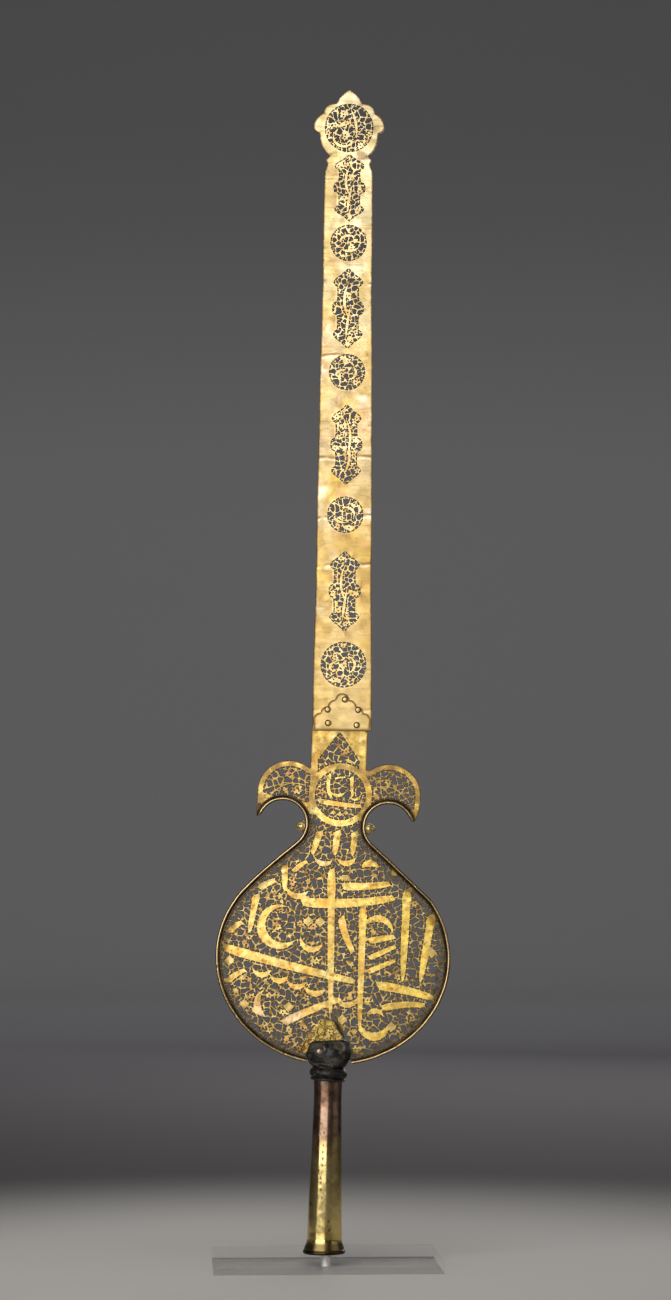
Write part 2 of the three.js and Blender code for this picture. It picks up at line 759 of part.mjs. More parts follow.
function upperWorks() {
  const upper = new THREE.Group();

  const collar = piece('collar', collarGeometry(), blackened);
  collar.rotation.y = turn(collarTilt);
  upper.add(collar);

  upper.add(piece('socket_head', slottedClasp(), blackened));

  const body = new THREE.Group();
  body.position.z = discUp;
  body.add(piece('body_sheet', bodyGeometry(), gilt));
  body.add(piece('repair_patch', patchGeometry(), yellowBrass));
  body.add(piece('rim_left', rimGeometry(-1), darkBrass));
  body.add(piece('rim_right', rimGeometry(1), darkBrass));
  body.add(piece('bud_left', budGeometry(-1), yellowBrass));
  body.add(piece('bud_right', budGeometry(1), yellowBrass));
  const claspFace = claspDepth / 2 + fitGap;
  const claspPin = rivetGeometry(claspFace, claspFace, claspRivetRadius, 3.4, 1);
  claspPin.translate(claspRivetPlace.x, 0, claspRivetPlace.y);
  body.add(piece('head_rivet', claspPin, yellowBrass));

  const blade = new THREE.Group();
  blade.position.set(lapPlace.x, 0, lapPlace.y);
  blade.rotation.y = -lapTurn;
  const bladeMesh = piece('blade', bladeGeometry(), paleGilt);
  const bladeBack = -sheetThickness / 2 - fitGap;
  bladeMesh.position.y = bladeBack;
  blade.add(bladeMesh);
  const plateHoles = rivetPlaces.map((p) => ringHole(p.x, p.y, rivetBore, 6));
  const plateBack = bladeBack - sheetThickness - fitGap;
  const plate = standingSheet(plateOutline(), [plateHoles], plateThickness, plateBack);
  blade.add(piece('joining_plate', plate, paleGilt));
  const front = -plateBack + plateThickness + fitGap;
  const back = sheetThickness / 2 + fitGap;
  rivetPlaces.forEach((p, i) => {
    const rivet = rivetGeometry(front, back, rivetRadius, rivetHeadRadius, rivetHeadHeight);
    rivet.translate(p.x, 0, p.y);
    blade.add(piece(`joint_rivet_${i + 1}`, rivet, paleGilt));
  });
  body.add(blade);
  upper.add(body);
  return upper;
}

// Hollow socket, leaning with its foot cut level
function socketGeometry() {
  const tube = [
    [lipRadius, 0],
    [lipRadius, lipHeight * 0.45],
    [lipRadius - 2.2, lipHeight],
    [socketLowRadius, lipHeight * 1.4],
    [THREE.MathUtils.lerp(socketLowRadius, socketWaistRadius, 0.5), socketHeight * 0.42],
    [socketWaistRadius, socketHeight * 0.84],
    [socketTopRadius, socketHeight],
  ];
  const aboveLip = tube.filter((_, i) => i === 0 || i >= 3);
  const bore = aboveLip.map(([radius, height]) => [radius - socketWall, height]).reverse();
  const geometry = turned([...tube, ...bore, tube[0]], 22);
  const lean = new THREE.Matrix4().makeShear(0, 0, 0, 0, Math.tan(turn(socketLean)), 0);
  geometry.applyMatrix4(lean);
  return geometry;
}

function footGeometry() {
  const halfWidth = footWidth / 2 - footChamfer;
  const halfDepth = footDepth / 2 - footChamfer;
  const shape = new THREE.Shape([
    new THREE.Vector2(-halfWidth, -halfDepth),
    new THREE.Vector2(halfWidth, -halfDepth),
    new THREE.Vector2(halfWidth, halfDepth),
    new THREE.Vector2(-halfWidth, halfDepth),
  ]);
  const bore = rodDiameter / 2 + fitGap + footChamfer;
  shape.holes.push(new THREE.Path(ringHole(0, 0, bore, 16)));
  const geometry = new THREE.ExtrudeGeometry(shape, {
    depth: footThickness - 2 * footChamfer,
    bevelSize: footChamfer,
    bevelThickness: footChamfer,
    bevelSegments: 1,
  });
  geometry.translate(0, 0, footChamfer);
  return geometry;
}

function rodGeometry() {
  const radius = rodDiameter / 2;
  const top = footThickness + rodReach;
  return turned([[0, 0], [radius - 1, 0], [radius, 1], [radius, top - 1], [radius - 1, top], [0, top]], 16);
}

// What the foot carries: the socket and, on the top of its tube, the upper works
const carried = new THREE.Group();
carried.position.set(-socketPlay, 0, footThickness + fitGap);
carried.add(piece('socket', socketGeometry(), copperBrass));

const upper = upperWorks();
upper.position.set(socketHeight * Math.tan(turn(socketLean)), 0, socketHeight);
upper.rotation.y = turn(bodyLean);
carried.add(upper);

const foot = piece('clear_foot', footGeometry(), acrylic);
foot.rotation.z = turn(footTurn);

const standard = new THREE.Group();
standard.add(foot, piece('threaded_rod', rodGeometry(), steel), carried);

export default standard;
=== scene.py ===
import math
import bmesh
import bpy
import numpy as np
from mathutils import Matrix, Vector, noise
from mathutils.geometry import delaunay_2d_cdt


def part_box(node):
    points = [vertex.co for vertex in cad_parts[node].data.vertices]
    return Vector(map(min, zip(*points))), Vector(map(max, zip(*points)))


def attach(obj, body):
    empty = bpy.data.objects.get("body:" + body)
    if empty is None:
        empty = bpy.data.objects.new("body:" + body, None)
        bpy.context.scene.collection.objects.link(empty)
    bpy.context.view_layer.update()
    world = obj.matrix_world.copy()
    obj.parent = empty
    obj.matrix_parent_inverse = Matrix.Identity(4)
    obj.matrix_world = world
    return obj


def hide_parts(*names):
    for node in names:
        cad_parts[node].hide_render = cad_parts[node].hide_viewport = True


# A processional standard: pierced gilt disc with horns, long pierced blade, pole socket and clear foot.
# Sizes are millimetres unless the name says otherwise. Flat sheets are drawn in a plane of their own,
# x to the right and y up, and are then stood up in the frame.

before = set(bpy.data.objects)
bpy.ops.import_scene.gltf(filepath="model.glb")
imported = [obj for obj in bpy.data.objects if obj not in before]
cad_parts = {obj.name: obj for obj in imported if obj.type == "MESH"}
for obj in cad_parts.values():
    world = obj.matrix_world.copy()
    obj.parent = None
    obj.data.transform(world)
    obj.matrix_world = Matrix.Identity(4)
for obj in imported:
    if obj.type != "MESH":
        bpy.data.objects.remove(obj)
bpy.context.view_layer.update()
mm = 0.001


# camera, floor and lights

studio = dict(
    middleX=11.4,            # where the photograph's centre line meets the object
    middleZ=739,
    cameraHeight=520,
    distance=4000,
    shownHeight=1560,        # what the frame's height shows at the standard
    roomReach=9600,          # the round backdrop lies outside the camera's way round the object
    wallHeight=6500,
    wallBend=3000,
    wallSides=96,
    floorRings=(300, 900, 1800),
    airColour=(0.42, 0.42, 0.44, 1),
    airStrength=0.09,
)
# softboxes in metres: place, what each faces, width, height, power and tint
softboxes = dict(
    keyBox=((-1.25, -2.38, 1.2), (0, 0, 0.72), 3.15, 2.4, 86, (1.0, 0.97, 0.92)),
    fillBox=((2.36, -0.81, 1.1), (0, 0, 0.6), 2.2, 2.0, 11, (1.0, 0.95, 0.88)),
    topBox=((0.2, -1.3, 3.2), (0, 0, 0.9), 2.2, 1.2, 12, (1, 1, 1)),
    backBox=((0.9, 3.2, 1.7), (0, 0, 0.7), 2.6, 2.2, 30, (1.0, 0.97, 0.93)),
    wallBox=((0.0, 2.5, 3.7), (0, 9.6, 1.0), 3.2, 1.5, 134, (1, 1, 1)),
    frontWallBox=((0.0, -2.9, 3.7), (0, -9.6, 1.0), 3.2, 1.5, 120, (1, 1, 1)),
    leftWallBox=((-2.6, 0.6, 3.7), (-9.6, 0.3, 1.0), 3.2, 1.5, 90, (1, 1, 1)),
    rightWallBox=((2.6, 0.6, 3.7), (9.6, 0.3, 1.0), 3.2, 1.5, 90, (1, 1, 1)),
)


def link(name, data):
    thing = bpy.data.objects.new(name, data)
    bpy.context.scene.collection.objects.link(thing)
    return thing


def linkMesh(name, vertices, faces, smooth=True):
    mesh = bpy.data.meshes.new(name)
    mesh.from_pydata([tuple(v) for v in vertices], [], faces)
    mesh.update()
    if smooth:
        mesh.shade_smooth()
    return link(name, mesh)


def makeCamera():
    camera = link("camera", bpy.data.cameras.new("camera"))
    bpy.context.scene.camera = camera
    distance = studio["distance"] * mm
    tall = studio["shownHeight"] * mm
    camera.data.lens = camera.data.sensor_width * distance / tall
    camera.data.shift_y = (studio["middleZ"] - studio["cameraHeight"]) * mm / tall
    camera.location = (studio["middleX"] * mm, -distance, studio["cameraHeight"] * mm)
    camera.rotation_euler = (math.pi / 2, 0, 0)
    camera.data.clip_end = 50


def makeSweep():
    # round floor that curves up into a wall on all sides
    reach, bend, around = studio["roomReach"], studio["wallBend"], studio["wallSides"]
    profile = [(radius, 0) for radius in studio["floorRings"]] + [(reach - bend, 0)]
    for i in range(1, 13):
        turn = math.radians(90 * i / 12)
        profile.append((reach - bend + bend * math.sin(turn), bend - bend * math.cos(turn)))
    profile.append((reach, studio["wallHeight"]))
    turns = [2 * math.pi * k / around for k in range(around)]
    vertices = [(0, 0, 0)]
    for radius, z in profile:
        vertices += [(radius * math.cos(turn) * mm, radius * math.sin(turn) * mm, z * mm) for turn in turns]
    faces = [(0, 1 + k, 1 + (k + 1) % around) for k in range(around)]
    for first in range(1, (len(profile) - 1) * around, around):
        for k in range(around):
            a = first + k
            b = first + (k + 1) % around
            faces.append((a, a + around, b + around, b))
    sweep = linkMesh("studioSweep", vertices, faces)
    return sweep


def makeSoftbox(name, place, target, wide, tall, power, tint):
    light = bpy.data.lights.new(name, "AREA")
    light.shape = "RECTANGLE"
    light.size = wide
    light.size_y = tall
    light.energy = power
    light.color = tint
    lamp = link(name, light)
    lamp.location = place
    lamp.rotation_euler = (Vector(target) - Vector(place)).to_track_quat("-Z", "Y").to_euler()
    lamp.visible_camera = False


def makeAir():
    world = bpy.data.worlds.new("studioAir")
    bpy.context.scene.world = world
    world.use_nodes = True
    air = world.node_tree.nodes["Background"]
    air.inputs["Color"].default_value = studio["airColour"]
    air.inputs["Strength"].default_value = studio["airStrength"]
    bpy.context.scene.view_settings.view_transform = "Standard"


makeCamera()
sweep = makeSweep()
for name, look in softboxes.items():
    makeSoftbox(name, *look)
makeAir()
print("studio is set")


# materials

even = (1, 1, 1)


class Nodes:
    # a short hand for one material's node tree, and the colour mixed so far

    def __init__(self, name):
        self.material = bpy.data.materials.new(name)
        self.material.use_nodes = True
        self.tree = self.material.node_tree
        self.shader = self.tree.nodes["Principled BSDF"]
        self.place = self.add("ShaderNodeTexCoord", {}).outputs["Object"]
        self.colour = None

    def add(self, kind, inputs, **settings):
        node = self.tree.nodes.new(kind)
        for key, value in settings.items():
            setattr(node, key, value)
        self.feed(node, inputs)
        return node

    def feed(self, node, inputs):
        # each input gets a link, a colour or a plain value
        for key, value in inputs.items():
            socket = node.inputs[key]
            if hasattr(value, "is_output"):
                self.tree.links.new(value, socket)
            else:
                socket.default_value = (*value, 1) if socket.type == "RGBA" else value

    def texture(self, kind, stretch, inputs, **settings):
        spread = self.add("ShaderNodeMapping", {"Vector": self.place, "Scale": stretch})
        return self.add(kind, {"Vector": spread.outputs["Vector"], **inputs}, **settings)

    def noise(self, scale, detail=3, rough=0.55, stretch=even, distort=0.0):
        inputs = {"Scale": scale, "Detail": detail, "Roughness": rough, "Distortion": distort}
        return self.texture("ShaderNodeTexNoise", stretch, inputs).outputs["Fac"]

    def cells(self, scale, stretch=even, smooth=0.0):
        feature = "SMOOTH_F1" if smooth else "F1"
        inputs = {"Scale": scale, "Smoothness": smooth} if smooth else {"Scale": scale}
        return self.texture("ShaderNodeTexVoronoi", stretch, inputs, feature=feature).outputs["Distance"]

    def ramp(self, value, low, high, out=(0.0, 1.0)):
        inputs = {"Value": value, "From Min": low, "From Max": high, "To Min": out[0], "To Max": out[1]}
        return self.add("ShaderNodeMapRange", inputs, interpolation_type="SMOOTHSTEP").outputs["Result"]

    def patches(self, low, high, *look, out=(0.0, 1.0)):
        # blotches where the noise lies over the low value, full over the high one
        return self.ramp(self.noise(*look), low, high, out)

    def math(self, kind, a, b=0.5):
        return self.add("ShaderNodeMath", {0: a, 1: b}, operation=kind).outputs[0]

    def times(self, a, b):
        return self.math("MULTIPLY", a, b)

    def plus(self, a, b):
        return self.math("ADD", a, b)

    def mix(self, share, a, b):
        node = self.add("ShaderNodeMix", {"Factor": share, "A": a, "B": b}, data_type="RGBA")
        return node.outputs["Result"]

    def mark(self, name):
        return self.add("ShaderNodeAttribute", {}, attribute_name=name).outputs["Fac"]

    def coat(self, share, tint, amount=None):
        # lays a tint over the colour so far; the share is a value or the name of a mark
        if isinstance(share, str):
            share = self.mark(share)
        if amount:
            share = self.times(share, amount)
        self.colour = self.mix(share, self.colour, tint)

    def axis(self, vector, name):
        return self.add("ShaderNodeSeparateXYZ", {0: vector}).outputs[name]

    def along(self, name, low, high):
        return self.ramp(self.axis(self.place, name), low * mm, high * mm)

    def sidewall(self):
        # 1 on the walls and eased edges of the openings, 0 on the front and the back of a sheet
        normal = self.add("ShaderNodeNewGeometry", {}).outputs["Normal"]
        return self.ramp(self.math("ABSOLUTE", self.axis(normal, "Y")), 0.95, 0.80)

    def relief(self, heights, strength):
        # heights are pairs of a value and its depth in millimetres
        parts = [self.times(value, deep * mm) for value, deep in heights]
        total = parts[0]
        for part in parts[1:]:
            total = self.plus(total, part)
        bump = self.add("ShaderNodeBump", {"Strength": strength, "Distance": 1.0, "Height": total})
        self.feed(self.shader, {"Normal": bump.outputs["Normal"]})

    def finish(self, rough, metal):
        self.feed(self.shader, {"Base Color": self.colour, "Roughness": rough, "Metallic": metal})
        return self.material


def discGilding():
    m = Nodes("discGilding")
    gold = m.mix(m.patches(0.38, 0.66, 22, 4, 0.6), (0.97, 0.77, 0.27), (0.85, 0.53, 0.11))
    pale = m.mix(m.patches(0.4, 0.65, 30), (0.90, 0.76, 0.48), (0.80, 0.58, 0.36))
    # brighter, oranger gold to the right: partly the gilding's own tone, partly painted light that makes up
    # for the lamps falling off
    toneAndLightToRight = m.plus(m.along("X", -40, 120), m.times(m.noise(14, 2), 0.5))
    gold = m.mix(m.ramp(toneAndLightToRight, 0.4, 1.3), gold, (1.0, 0.75, 0.16))
    lowLeft = m.times(m.along("X", 10, -60), m.along("Z", 350, 300))
    lowLeft = m.plus(lowLeft, m.times(m.noise(17), 0.8))
    m.colour = m.mix(m.ramp(lowLeft, 0.75, 1.15), gold, pale)
    m.coat(m.patches(0.48, 0.60, 60, 4, 0.7, even, 0.6), (0.70, 0.36, 0.055), 0.7)      # ochre
    m.coat(m.patches(0.54, 0.64, 130, 4, 0.75), (0.42, 0.19, 0.04), 0.7)                # brown spots
    m.coat(m.patches(0.56, 0.68, 75, 3, 0.6, even, 0.3), (1.0, 0.88, 0.50), 0.6)        # rubbed bright
    stroke = m.colour
    m.colour = m.mix(m.patches(0.36, 0.62, 170, 4, 0.7), (0.60, 0.44, 0.16), (0.19, 0.105, 0.034))
    m.coat("petal", m.mix(m.patches(0.45, 0.6, 28, 2), (0.70, 0.52, 0.17), (0.48, 0.25, 0.085)))
    m.coat("stroke", stroke)
    m.coat("lozenge", (0.66, 0.48, 0.17), 0.7)
    # a browner tone with painted shade on the bands of the horns and the ring and beside the tang, mottled
    bandMottling = m.patches(0.36, 0.60, 48, 4, 0.65, even, 0.4, out=(0.35, 1.0))
    m.coat(m.times(m.mark("brownedAndShaded"), bandMottling), (0.30, 0.19, 0.065))
    m.coat(m.patches(0.60, 0.72, 260, 2, 0.8), (0.25, 0.13, 0.05), 0.4)                 # grime
    # painted shade line along the sheet's outline
    m.coat("outlineShade", (0.20, 0.12, 0.05), 0.75)
    # painted shade beside the rims and along the crack, and grime with painted shade under the clasp
    m.coat("grimeAndShade", (0.045, 0.035, 0.022), 0.9)
    m.coat(m.sidewall(), (0.085, 0.045, 0.03))
    m.relief([(m.cells(70, smooth=0.6), 0.35), (m.noise(420), 0.06), (m.noise(45, 2), 0.7)], 0.6)
    rough = m.patches(0.3, 0.75, 130, out=(0.28, 0.46))
    return m.finish(m.plus(rough, m.times(m.mark("stroke"), 0.08)), 1.0)


# creases in the blade: a painted highlight a little above each and a painted line of shade in it
creases = dict(
    heights=(1180, 1092, 971, 899, 842, 716, 668),
    reach=2.2,
    gleam=(3.4, 0.6, (0.94, 0.88, 0.70), 0.45),        # way up from the crease, core, tint and amount
    line=(7.0, 0.5, (0.22, 0.13, 0.05), 0.85),
)


def bladeGilding():
    m = Nodes("bladeGilding")
    blotches = m.patches(0.36, 0.62, 13, 4, 0.65, (1, 1, 0.8))
    m.colour = m.mix(blotches, (0.58, 0.48, 0.29), (0.50, 0.34, 0.11))
    m.coat(m.patches(0.54, 0.68, 31, 4, 0.65, (1, 1, 0.7), 0.5), (0.62, 0.43, 0.09), 0.8)       # yellow
    m.coat(m.patches(0.56, 0.70, 24, 4, 0.7, (1.6, 1, 1), 0.6), (0.46, 0.29, 0.22), 0.75)       # rosy
    m.coat(m.patches(0.54, 0.68, 17, 3, 0.6), (0.92, 0.83, 0.64), 0.8)                          # pale
    m.coat(m.along("Z", 950, 1400), (0.86, 0.74, 0.42), 0.35)
    m.coat(m.patches(0.57, 0.72, 30, 4, 0.7, (0.7, 1, 3.6), 0.9), (0.36, 0.22, 0.08), 0.85)     # smears
    m.coat(m.patches(0.58, 0.70, 62, 3, 0.6, (0.3, 1, 4.0), 0.4), (0.38, 0.23, 0.08), 0.7)      # streaks
    scaly = m.ramp(m.cells(85, (0.55, 1, 1.5)), 0.52, 0.72)
    m.coat(m.times(scaly, m.patches(0.46, 0.6, 11, 2)), (0.48, 0.29, 0.12), 0.6)
    m.coat(m.patches(0.63, 0.73, 330, 2, 0.8), (0.22, 0.11, 0.05), 0.65)                        # specks
    wavy = m.plus(m.axis(m.place, "Z"), m.times(m.noise(26), 0.014))
    broken = m.patches(0.40, 0.50, 55, 2, 0.5, (1, 1, 0.2))
    # painted highlight and painted shade along each crease
    for z in creases["heights"]:
        for up, core, tint, amount in (creases["gleam"], creases["line"]):
            away = m.math("ABSOLUTE", m.math("SUBTRACT", wavy, (z + up) * mm))
            m.coat(m.times(m.ramp(away, creases["reach"] * mm, core * mm), broken), tint, amount)
    lower = m.plus(m.along("Z", 980, 700), m.times(m.noise(15), 0.4))
    m.coat(m.ramp(lower, 0.5, 1.3, (0.0, 0.7)), (0.50, 0.34, 0.11))
    m.coat("deeper", (0.52, 0.39, 0.18), 0.4)
    m.coat("vine", m.mix(m.patches(0.4, 0.6, 140, 2), (0.78, 0.64, 0.34), (0.64, 0.44, 0.17)), 0.7)
    m.coat("scored", (0.30, 0.17, 0.06), 0.55)
    m.coat("ringed", (0.09, 0.055, 0.03), 0.9)
    # painted shade line along the outlines of the blade and the plate
    m.coat("outlineShade", (0.13, 0.075, 0.03), 0.85)
    m.coat(m.sidewall(), (0.10, 0.055, 0.035))
    folds = m.noise(26, 2, 0.5, (0.25, 1, 3.2))
    beaten = m.cells(48, (1, 1, 1.4), 0.7)
    sunk = m.times(m.mark("scored"), -1.0)
    m.relief([(folds, 1.7), (beaten, 0.5), (m.noise(380), 0.06), (sunk, 0.2)], 0.6)
    return m.finish(m.patches(0.3, 0.75, 90, 4, out=(0.30, 0.50)), 1.0)


def rimPatina():
    m = Nodes("rimPatina")
    # the crown mark paints a highlight along the bead's crown, broken up by patches
    crown = m.times(m.mark("crown"), m.patches(0.25, 0.5, 150, 3, 0.6, out=(0.6, 1.0)))
    m.colour = m.mix(m.patches(0.42, 0.66, 60), (0.022, 0.014, 0.008), (0.085, 0.048, 0.018))
    m.coat(crown, (0.50, 0.37, 0.18))
    m.relief([(m.noise(160), 0.25), (m.noise(700, 2), 0.05)], 0.6)
    m.feed(m.shader, {"Specular Tint": (0.2, 0.16, 0.12)})
    return m.finish(m.ramp(crown, 0.0, 1.0, (0.5, 0.26)), 0.95)


def knobBrass():
    m = Nodes("knobBrass")
    m.colour = m.mix(m.patches(0.4, 0.65, 300), (0.78, 0.63, 0.29), (0.44, 0.31, 0.12))
    m.coat("paler", (0.34, 0.28, 0.22))
    m.relief([(m.noise(500), 0.15)], 0.6)
    return m.finish(m.patches(0.3, 0.7, 400, 2, out=(0.32, 0.5)), 0.95)


def patchBrass():
    m = Nodes("patchBrass")
    m.colour = m.mix(m.patches(0.42, 0.62, 120, 4, 0.6), (0.60, 0.43, 0.10), (0.20, 0.12, 0.035))
    # painted shade where the patch shows through the crack
    m.coat("grimeAndShade", (0.035, 0.026, 0.016))
    m.relief([(m.noise(160), 0.3)], 0.6)
    return m.finish(m.patches(0.3, 0.7, 200, 2, out=(0.35, 0.55)), 0.95)


def blackenedClasp():
    m = Nodes("blackenedClasp")
    grain = m.noise(110, 5, 0.65)
    m.colour = m.mix(m.ramp(grain, 0.35, 0.62), (0.009, 0.008, 0.007), (0.032, 0.029, 0.025))
    m.coat(m.patches(0.56, 0.68, 70, 4, 0.7, even, 0.5), (0.19, 0.14, 0.10), 0.6)       # rubbed
    m.coat(m.patches(0.55, 0.68, 48, 2), (0.06, 0.075, 0.09), 0.4)                      # bluish
    m.relief([(grain, 1.3), (m.noise(420, 4, 0.6), 0.3)], 0.85)
    return m.finish(m.ramp(grain, 0.3, 0.7, (0.30, 0.52)), 0.8)


def socketBrass():
    m = Nodes("socketBrass")
    brass = m.mix(m.patches(0.35, 0.65, 24, 3, 0.6, (1, 1, 0.4)), (0.88, 0.70, 0.30), (0.66, 0.48, 0.15))
    copper = m.mix(m.patches(0.38, 0.6, 46, 4, 0.7), (0.31, 0.215, 0.155), (0.155, 0.08, 0.05))
    height = m.plus(m.along("Z", 95, 205), m.times(m.noise(34, 4, 0.65), 0.5))
    upper = m.ramp(height, 0.45, 1.0)
    m.colour = m.mix(upper, brass, copper)
    pink = m.times(m.patches(0.5, 0.62, 120, 4, 0.7, (1, 1, 0.6)), m.along("Z", 60, 150))
    m.coat(pink, (0.38, 0.19, 0.135), 0.6)
    m.coat(m.patches(0.57, 0.70, 70, 4, 0.7, (1, 1, 0.5), 0.7), (0.12, 0.055, 0.02), 0.7)       # stains
    pits = m.times(m.ramp(m.cells(230, (1, 1, 0.7)), 0.18, 0.08), m.patches(0.48, 0.58, 33, 2))
    m.coat(pits, (0.07, 0.03, 0.02), 0.85)
    m.coat("pitted", (0.06, 0.028, 0.015), 0.9)
    lip = m.along("Z", 33, 27)
    m.coat(lip, (0.085, 0.06, 0.028), 0.9)
    # painted shade: the bottom ring of the lip, where it sits on the foot, is darkened
    m.coat(m.along("Z", 21, 18.6), (0.03, 0.022, 0.012), 0.92)
    scratches = m.noise(60, 3, 0.6, (5, 5, 0.4))
    m.relief([(m.noise(38, 2), 0.45), (scratches, 0.06), (m.times(pits, -1.0), 0.3)], 0.45)
    rough = m.plus(m.patches(0.3, 0.7, 110, out=(0.08, 0.15)), m.times(upper, 0.10))
    return m.finish(m.plus(rough, m.times(lip, 0.18)), 1.0)


def rodSteel():
    m = Nodes("rodSteel")
    m.colour = m.mix(m.patches(0.4, 0.6, 200, 2), (0.92, 0.92, 0.90), (0.76, 0.76, 0.75))
    m.relief([(m.noise(900, 2), 0.03)], 0.5)
    return m.finish(m.patches(0.3, 0.7, 300, 2, out=(0.40, 0.50)), 0.45)


def clearAcrylic():
    m = Nodes("clearAcrylic")
    m.colour = m.mix(m.patches(0.4, 0.6, 12, 2), (0.985, 0.99, 0.99), (0.98, 0.987, 0.99))
    m.feed(m.shader, {"Transmission Weight": 1.0, "IOR": 1.49, "Alpha": 0.16})
    return m.finish(m.patches(0.3, 0.7, 300, 2, out=(0.0, 0.02)), 0.0)


def studioPaper():
    # pale round the foot, grey further off; the coats even out the lamps on the far side
    m = Nodes("studioPaper")
    away = m.add("ShaderNodeVectorMath", {0: m.place}, operation="LENGTH").outputs["Value"]
    grain = m.patches(0.3, 0.7, 900, 2, out=(0.0, 0.02))
    m.colour = m.mix(grain, (0.60, 0.59, 0.58), (0.56, 0.55, 0.54))
    m.coat(m.ramp(away, 0.38, 1.15), (0.092, 0.088, 0.094))
    m.coat(m.ramp(away, 3.1, 4.7), (0.148, 0.143, 0.15))
    m.coat(m.ramp(away, 4.0, 7.4), (0.285, 0.278, 0.287))
    m.coat(m.along("Z", 1700, 3500), (0.185, 0.18, 0.186))
    m.coat(m.along("Y", 500, -3000), (0.15, 0.147, 0.15))
    m.relief([(m.noise(600, 2), 0.02)], 0.2)
    m.feed(m.shader, {"Specular IOR Level": 0.2})
    return m.finish(m.ramp(grain, 0.0, 0.02, (0.85, 0.95)), 0.0)


finishes = dict(
    warm_gilt=discGilding(),
    pale_gilt=bladeGilding(),
    dark_rim_brass=rimPatina(),
    knob_brass=knobBrass(),
    patch_brass=patchBrass(),
    blackened_metal=blackenedClasp(),
    socket_brass=socketBrass(),
    rod_steel=rodSteel(),
    clear_acrylic=clearAcrylic(),
)
sweep.data.materials.append(studioPaper())
print("finishes are mixed")


def putMark(thing, name, values):
    # a share for each vertex, which the finishes read
    attribute = thing.data.attributes.new(name, "FLOAT", "POINT")
    attribute.data.foreach_set("value", np.asarray(values, np.float32))


def handIn(thing, slot, node):
    thing.data.materials.append(finishes[slot])
    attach(thing, "root")
    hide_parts(node)
    print(thing.name, len(thing.data.polygons), "faces")


# how the pieces stand: the socket leans a little, the disc leans on it and the blade stands off the disc

standing = dict(
    socketAcross=-2.4,       # the socket stands beside the rod's axis
    socketLean=1.4,
    bodyLean=2.2,
    bladeLean=0.7,
    discUp=139.4,            # middle of the disc above the tube's top
    lapAcross=0.3,
    lapUp=272.6,
)


def placeAt(x, z, lean):
    return Matrix.Translation((x, 0, z)) @ Matrix.Rotation(math.radians(lean), 4, "Y")


tubeFoot, tubeTop = [corner.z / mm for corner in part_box("socket")]
tubeSlope = math.tan(math.radians(standing["socketLean"]))
bladeTurn = standing["bladeLean"] - standing["bodyLean"]
socketPlace = placeAt(standing["socketAcross"], tubeFoot, 0)
upperAcross = standing["socketAcross"] + (tubeTop - tubeFoot) * tubeSlope
upperPlace = placeAt(upperAcross, tubeTop, standing["bodyLean"])
bodyPlace = upperPlace @ placeAt(0, standing["discUp"], 0)
bladePlace = bodyPlace @ placeAt(standing["lapAcross"], standing["lapUp"], bladeTurn)


def inMetres(place, points):
    return [(place @ Vector(p)) * mm for p in points]


# flat drawing: layers of height over a grid, positive where metal stays

margin = 1.6                 # how far a drawn edge's slope reaches past it


def makeGrid(outline, spare, step):
    low, high = outline.min(0) - spare, outline.max(0) + spare
    xs, ys = [np.arange(low[k], high[k] + step, step) for k in (0, 1)]
    x, y = np.meshgrid(xs, ys)
    return dict(low=low, step=step, xs=xs, ys=ys, x=x, y=y, shape=x.shape)


def blank(grid, value):
    return np.full(grid["shape"], float(value))


def patchOf(grid, a, b, reach):
    # the part of the grid round a segment, as slices and as rows and columns of places
    spans = []
    for k, low in enumerate(grid["low"]):
        first = int((min(a[k], b[k]) - reach - low) / grid["step"])
        last = int((max(a[k], b[k]) + reach - low) / grid["step"]) + 2
        spans.append(slice(max(0, first), max(0, last)))
    across, up = spans
    return (up, across), grid["xs"][None, across], grid["ys"][up, None]


def farFromSegment(x, y, a, b):
    dx = b[0] - a[0]
    dy = b[1] - a[1]
    along = ((x - a[0]) * dx + (y - a[1]) * dy) / max(dx * dx + dy * dy, 1e-9)
    along = np.clip(along, 0, 1)
    return np.hypot(x - a[0] - along * dx, y - a[1] - along * dy), along


def drawStroke(layer, grid, points, halves):
    for a, b, halfA, halfB in zip(points[:-1], points[1:], halves[:-1], halves[1:]):
        part, x, y = patchOf(grid, a, b, max(halfA, halfB) + margin)
        far, along = farFromSegment(x, y, a, b)
        layer[part] = np.maximum(layer[part], halfA + (halfB - halfA) * along - far)


def drawDot(layer, grid, centre, radius):
    part, x, y = patchOf(grid, centre, centre, radius + margin)
    layer[part] = np.maximum(layer[part], radius - np.hypot(x - centre[0], y - centre[1]))


def cutDot(layer, grid, centre, radius):
    part, x, y = patchOf(grid, centre, centre, radius + margin)
    layer[part] = np.minimum(layer[part], np.hypot(x - centre[0], y - centre[1]) - radius)


def bored(layer, grid, places, radius):
    layer = layer.copy()
    for place in places:
        cutDot(layer, grid, place, radius)
    return layer


def drawLozenge(layer, grid, centre, half):
    part, x, y = patchOf(grid, centre, centre, half + margin)
    height = (half - np.abs(x - centre[0]) - np.abs(y - centre[1])) * math.sqrt(0.5)
    layer[part] = np.maximum(layer[part], height)


def farFromLines(grid, lines, most):
    layer = blank(grid, most)
    for line in lines:
        for a, b in zip(line[:-1], line[1:]):
            part, x, y = patchOf(grid, a, b, most)
            layer[part] = np.minimum(layer[part], farFromSegment(x, y, a, b)[0])
    return layer


